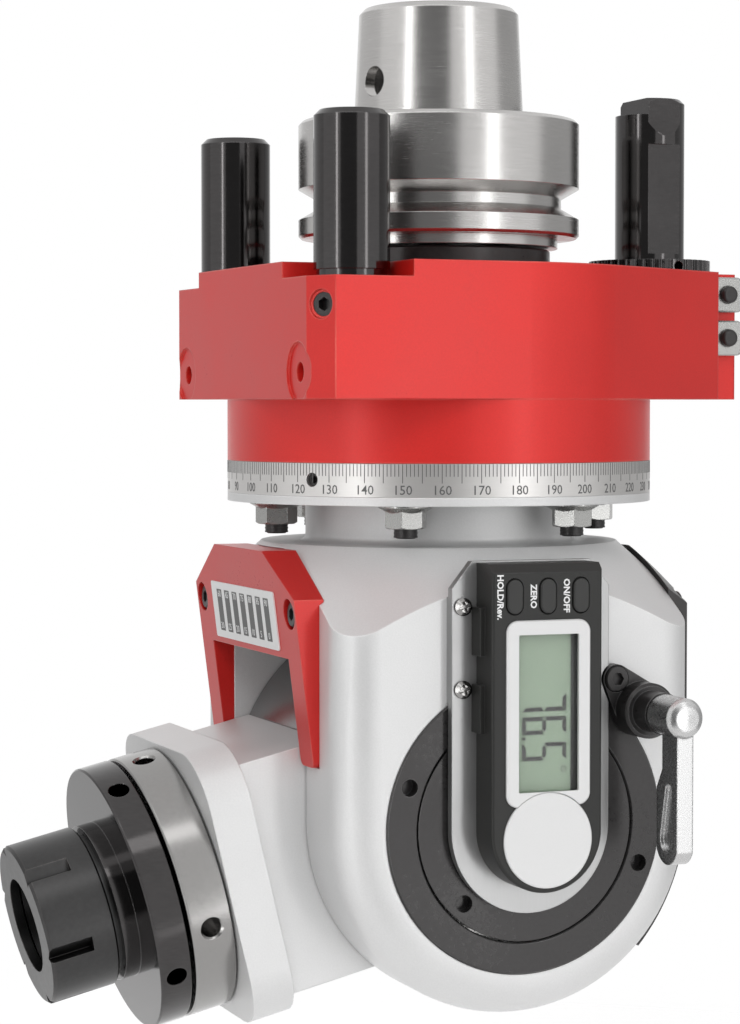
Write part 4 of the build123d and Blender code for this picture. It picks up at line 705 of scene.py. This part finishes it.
LIT_BARS = {
    "0": "top bottom upper_left upper_right lower_left lower_right", "1": "upper_right lower_right",
    "2": "top upper_right middle lower_left bottom", "3": "top upper_right middle lower_right bottom",
    "4": "upper_left middle upper_right lower_right", "5": "top upper_left middle lower_right bottom",
    "6": "top upper_left middle lower_left lower_right bottom", "7": "top upper_right lower_right",
    "8": "top middle bottom upper_left upper_right lower_left lower_right",
    "9": "top middle bottom upper_left upper_right lower_right",
}


def digit_bars(width, height, stroke):
    """Outlines of a digit's seven bars, mitred where two of them meet."""
    gap = 0.08 * MM
    half = height / 2
    inner = width - stroke
    top = [(gap, height), (width - gap, height), (inner - gap, height - stroke),
           (stroke + gap, height - stroke)]
    right = [(width, height - gap), (width, half + gap), (inner, half + stroke / 2 + gap),
             (inner, height - stroke - gap)]
    middle = [(stroke / 2 + gap, half), (stroke + gap, half + stroke / 2), (inner - gap, half + stroke / 2),
              (width - stroke / 2 - gap, half), (inner - gap, half - stroke / 2),
              (stroke + gap, half - stroke / 2)]
    left = [(width - x, y) for x, y in right]
    bars = {"top": top, "middle": middle, "upper_right": right, "upper_left": left}
    for upper, lower in (("top", "bottom"), ("upper_right", "lower_right"), ("upper_left", "lower_left")):
        bars[lower] = [(x, height - y) for x, y in bars[upper]]
    return bars


def degree_ring(centre, radius, depth):
    """Short prisms round a centre, which make the degree sign."""
    sides, hollow = 16, 0.72
    prisms = []
    for n in range(sides):
        a, b = 2 * pi * n / sides, 2 * pi * (n + 1) / sides
        outline = [centre + Vector((cos(turn), sin(turn))) * reach for turn, reach in (
            (a, radius * hollow), (b, radius * hollow), (b, radius), (a, radius))]
        prisms.append(prism_mesh([(point.x, point.y) for point in outline], depth))
    return prisms


def reading_mesh(reading):
    """Digits, decimal point and degree sign of the display, from their lower left corner."""
    height, depth = 10.1 * MM, 0.04 * MM
    pitch = 4.8 * MM
    point_width, point_height, point_pitch = 0.62 * MM, 0.85 * MM, 0.6 * MM
    point_middle = (-0.31 * MM, 0.42 * MM)
    bars = digit_bars(3.75 * MM, height, 0.92 * MM)
    shapes = []
    x = 0.0
    for mark in reading:
        if mark == ".":
            shapes.append(slab_mesh(point_width, point_height, depth, (x + point_middle[0], point_middle[1])))
            x += point_pitch
        else:
            for name in LIT_BARS[mark].split():
                shapes.append(prism_mesh([(x + px, py) for px, py in bars[name]], depth))
            x += pitch
    sign = Vector((x + 0.8 * MM, height - 0.6 * MM))
    return joined(shapes + degree_ring(sign, 0.68 * MM, depth))


class ANGLEHEAD_OT_display_face(bpy.types.Operator):
    """Digits of the display, a painted shadow along its window's right edge, and the captions beside its
    buttons
    """
    bl_idname = "anglehead.display_face"
    bl_label = "Display face"

    def execute(self, context):
        panel_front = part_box("display_panel")[0][1]
        digits = reading_mesh(sizes().reading)
        digits_left, digits_top = -5.14 * MM, -122.9 * MM
        digits.transform(on_display(digits_left, panel_front - 0.02 * MM, digits_top, turned=True))
        dark = ink_material("lcd_ink", grey(0.10), 0.4)
        white = ink_material("caption_ink", grey(0.80))
        new_piece("display_digits", digits, "housing", dark)

        # Painted shadow: a dark strip on the panel along the window's right edge stands in for the shade cast
        # by the recessed window's side wall.
        low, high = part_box("display_window")
        painted_shadow_width, painted_shadow_x = 2.9 * MM, 7.35 * MM
        painted_shadow = slab_mesh(painted_shadow_width, high[2] - low[2], 0.02 * MM)
        painted_shadow.transform(on_display(painted_shadow_x, panel_front - 0.015 * MM, (low[2] + high[2]) / 2))
        new_piece("display_mask", painted_shadow, "housing", ink_material("painted_shadow_ink", grey(0.06), 0.4))

        captions = []
        caption_height, caption_depth, bold = 1.35 * MM, 0.06 * MM, 0.06 * MM
        beside = 3.3 * MM
        caption_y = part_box("display_case")[0][1] - 0.02 * MM
        for words, node in (
                ("HOLD/Rev.", "hold_button"), ("ZERO", "zero_button"), ("ON/OFF", "power_button")):
            button = middle_of(*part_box(node))
            caption = words_mesh(words, caption_height, caption_depth, bold)
            caption.transform(on_display(button.x - beside, caption_y, button.z, turned=True))
            captions.append(caption)
        new_piece("button_captions", joined(captions), "housing", white)
        return {"FINISHED"}


# Operator for the stage


def place_camera(scene):
    """Camera of the photograph, as the fit to its circles and edges gave it."""
    frame_height, focal_pixels = 1024, 2751.0
    lens = bpy.data.cameras.new("camera")
    lens.sensor_fit = "VERTICAL"
    lens.sensor_height = 36.0
    lens.lens = focal_pixels / frame_height * lens.sensor_height
    lens.clip_start = 0.01
    lens.clip_end = 20.0
    turn, away, height = radians(22.739), 0.621, -0.06303
    look_down, look_left = radians(2.248), radians(21.317)
    camera = add_object("camera", lens)
    camera.location = (-away * sin(turn), -away * cos(turn), height)
    camera.rotation_euler = (pi / 2 - look_down, 0, -look_left)
    scene.camera = camera


def hang_lamps():
    """Soft area lamps aimed at the middle of the head; reflections see the cards instead."""
    target = Vector((0, 0, -0.09))
    for name, place, power, size in (
            ("key", (-0.75, -1.0, 0.95), 6.6, 0.6), ("fill", (0.55, -1.15, 0.15), 3.8, 0.9),
            ("front", (-0.50, -1.2, -0.05), 2.9, 0.9), ("rim", (0.3, 1.2, 0.9), 4.5, 1.0),
            ("side", (-1.3, 0.1, 0.2), 1.6, 0.7)):
        lamp = bpy.data.lights.new(name, "AREA")
        lamp.energy = power
        lamp.size = size
        holder = add_object(name, lamp)
        holder.location = place
        holder.rotation_euler = (target - Vector(place)).to_track_quat("-Z", "Y").to_euler()
        holder.visible_glossy = False


def add_card(name, turn, rise, width, height, strength, away):
    """Glowing card on a sphere round the head, which only reflections see."""
    glow, shader = new_material(name)
    set_values(shader, {
        "Base Color": (0, 0, 0, 1), "Roughness": 1.0, "Specular IOR Level": 0.0, "Emission Color": WHITE,
        "Emission Strength": strength})
    mesh = slab_mesh(width, height, 1.0 * MM)
    mesh.name = name
    mesh.materials.append(glow)
    card = add_object(name, mesh)
    out = Vector((cos(turn) * cos(rise), sin(turn) * cos(rise), sin(rise)))
    card.location = out * away + Vector((0, 0, -0.05))
    card.rotation_euler = (pi / 2 - rise, 0, turn + pi / 2)
    card.visible_camera = False
    card.visible_diffuse = False
    card.visible_shadow = False
    card.visible_transmission = False


def hang_cards():
    """Bright strips and darker fields, with their half widths and half heights in degrees."""
    camera_side, away = -112.7, 1.2
    for name, around, rise, spread, tall, strength in (
            ("strip_left", -42.5, 0.0, 2.2, 32.0, 6.7), ("strip_right", 44.0, 0.0, 3.6, 32.0, 4.4),
            ("dark_front", -8.0, 0.0, 24.0, 32.0, 0.20), ("strip_top", -5.0, 52.0, 40.0, 6.0, 2.6),
            ("grey_left", -120.0, 0.0, 30.0, 32.0, 0.75), ("grey_right", 122.0, 0.0, 32.0, 32.0, 0.5)):
        width, height = (2 * away * tan(radians(angle)) for angle in (spread, tall))
        add_card(name, radians(around + camera_side), radians(rise), width, height, strength, away)


def light_world(scene):
    """White for the camera, glass and reflections, and a plainer light on rough surfaces."""
    world = bpy.data.worlds.new("studio")
    scene.world = world
    world.use_nodes = True
    tree = world.node_tree
    tree.nodes.clear()
    path = tree.nodes.new("ShaderNodeLightPath").outputs
    sharp = math_node(tree, "MAXIMUM", path["Is Camera Ray"], path["Is Transmission Ray"])
    shine = math_node(tree, "MAXIMUM", sharp, path["Is Glossy Ray"])
    lit = add_node(tree, "ShaderNodeBackground", {"Color": WHITE, "Strength": 0.40})
    seen = add_node(tree, "ShaderNodeBackground", {"Color": WHITE, "Strength": 1.0})
    choice = add_node(tree, "ShaderNodeMixShader", {0: shine, 1: lit.outputs[0], 2: seen.outputs[0]})
    add_node(tree, "ShaderNodeOutputWorld", {"Surface": choice.outputs[0]})


def lay_floor():
    """Round paper floor that fades out at its rim and is clear when seen from below."""
    radius, height = 0.36, -0.262
    solid_to, clear_from = 0.16, 0.355
    builder = bmesh.new()
    bmesh.ops.create_circle(builder, cap_ends=True, segments=96, radius=radius)
    floor = add_object("floor", plain_mesh(builder, "floor"))
    floor.location.z = height
    paper, shader = new_material("paper_white")
    tree = paper.node_tree
    set_values(shader, {
        "Base Color": (*grey(0.9), 1), "Roughness": 0.9, "Emission Color": WHITE, "Emission Strength": 0.42})
    place = tree.nodes.new("ShaderNodeTexCoord").outputs["Object"]
    reach = add_node(tree, "ShaderNodeVectorMath", {0: place}, operation="LENGTH")
    fade = add_node(tree, "ShaderNodeMapRange", {
        "Value": reach.outputs["Value"], "From Min": solid_to, "From Max": clear_from, "To Min": 1.0,
        "To Max": 0.0}, interpolation_type="SMOOTHSTEP")
    below = tree.nodes.new("ShaderNodeNewGeometry").outputs["Backfacing"]
    above = math_node(tree, "SUBTRACT", 1.0, below)
    tree.links.new(math_node(tree, "MULTIPLY", fade.outputs["Result"], above), shader.inputs["Alpha"])
    floor.data.materials.append(paper)


class ANGLEHEAD_OT_studio(bpy.types.Operator):
    """Camera, lamps, reflection cards, white background and floor"""
    bl_idname = "anglehead.studio"
    bl_label = "Studio"

    def execute(self, context):
        context.scene.view_settings.view_transform = "Standard"
        place_camera(context.scene)
        hang_lamps()
        hang_cards()
        light_world(context.scene)
        lay_floor()
        return {"FINISHED"}


# Panel and registration


class ANGLEHEAD_PT_panel(bpy.types.Panel):
    """Sidebar panel of the angle head"""
    bl_label = "Angle head"
    bl_space_type = "VIEW_3D"
    bl_region_type = "UI"
    bl_category = "Angle head"

    def draw(self, context):
        layout = self.layout
        for group in (context.scene.angle_head_colours, context.scene.angle_head_sizes):
            for name in group.bl_rna.properties.keys():
                if name not in ("rna_type", "name"):
                    layout.prop(group, name)
        for operator in STEPS:
            layout.operator(operator.bl_idname)


STEPS = (
    ANGLEHEAD_OT_studio,
    ANGLEHEAD_OT_castings,
    ANGLEHEAD_OT_red_parts,
    ANGLEHEAD_OT_black_parts,
    ANGLEHEAD_OT_bright_parts,
    ANGLEHEAD_OT_display,
    ANGLEHEAD_OT_threads,
    ANGLEHEAD_OT_scale_marks,
    ANGLEHEAD_OT_angle_label,
    ANGLEHEAD_OT_display_face,
)
CLASSES = (AngleHeadColours, AngleHeadSizes, *STEPS, ANGLEHEAD_PT_panel)


def register():
    """Registers the classes and gives the scene its colours and sizes."""
    for cls in CLASSES:
        bpy.utils.register_class(cls)
    bpy.types.Scene.angle_head_colours = bpy.props.PointerProperty(type=AngleHeadColours)
    bpy.types.Scene.angle_head_sizes = bpy.props.PointerProperty(type=AngleHeadSizes)


def unregister():
    """Takes the scene's properties and the classes back."""
    del bpy.types.Scene.angle_head_sizes
    del bpy.types.Scene.angle_head_colours
    for cls in reversed(CLASSES):
        bpy.utils.unregister_class(cls)


def main():
    """Runs every operator in order."""
    register()
    for operator in STEPS:
        group, name = operator.bl_idname.split(".")
        getattr(getattr(bpy.ops, group), name)()


if __name__ == "__main__":
    main()
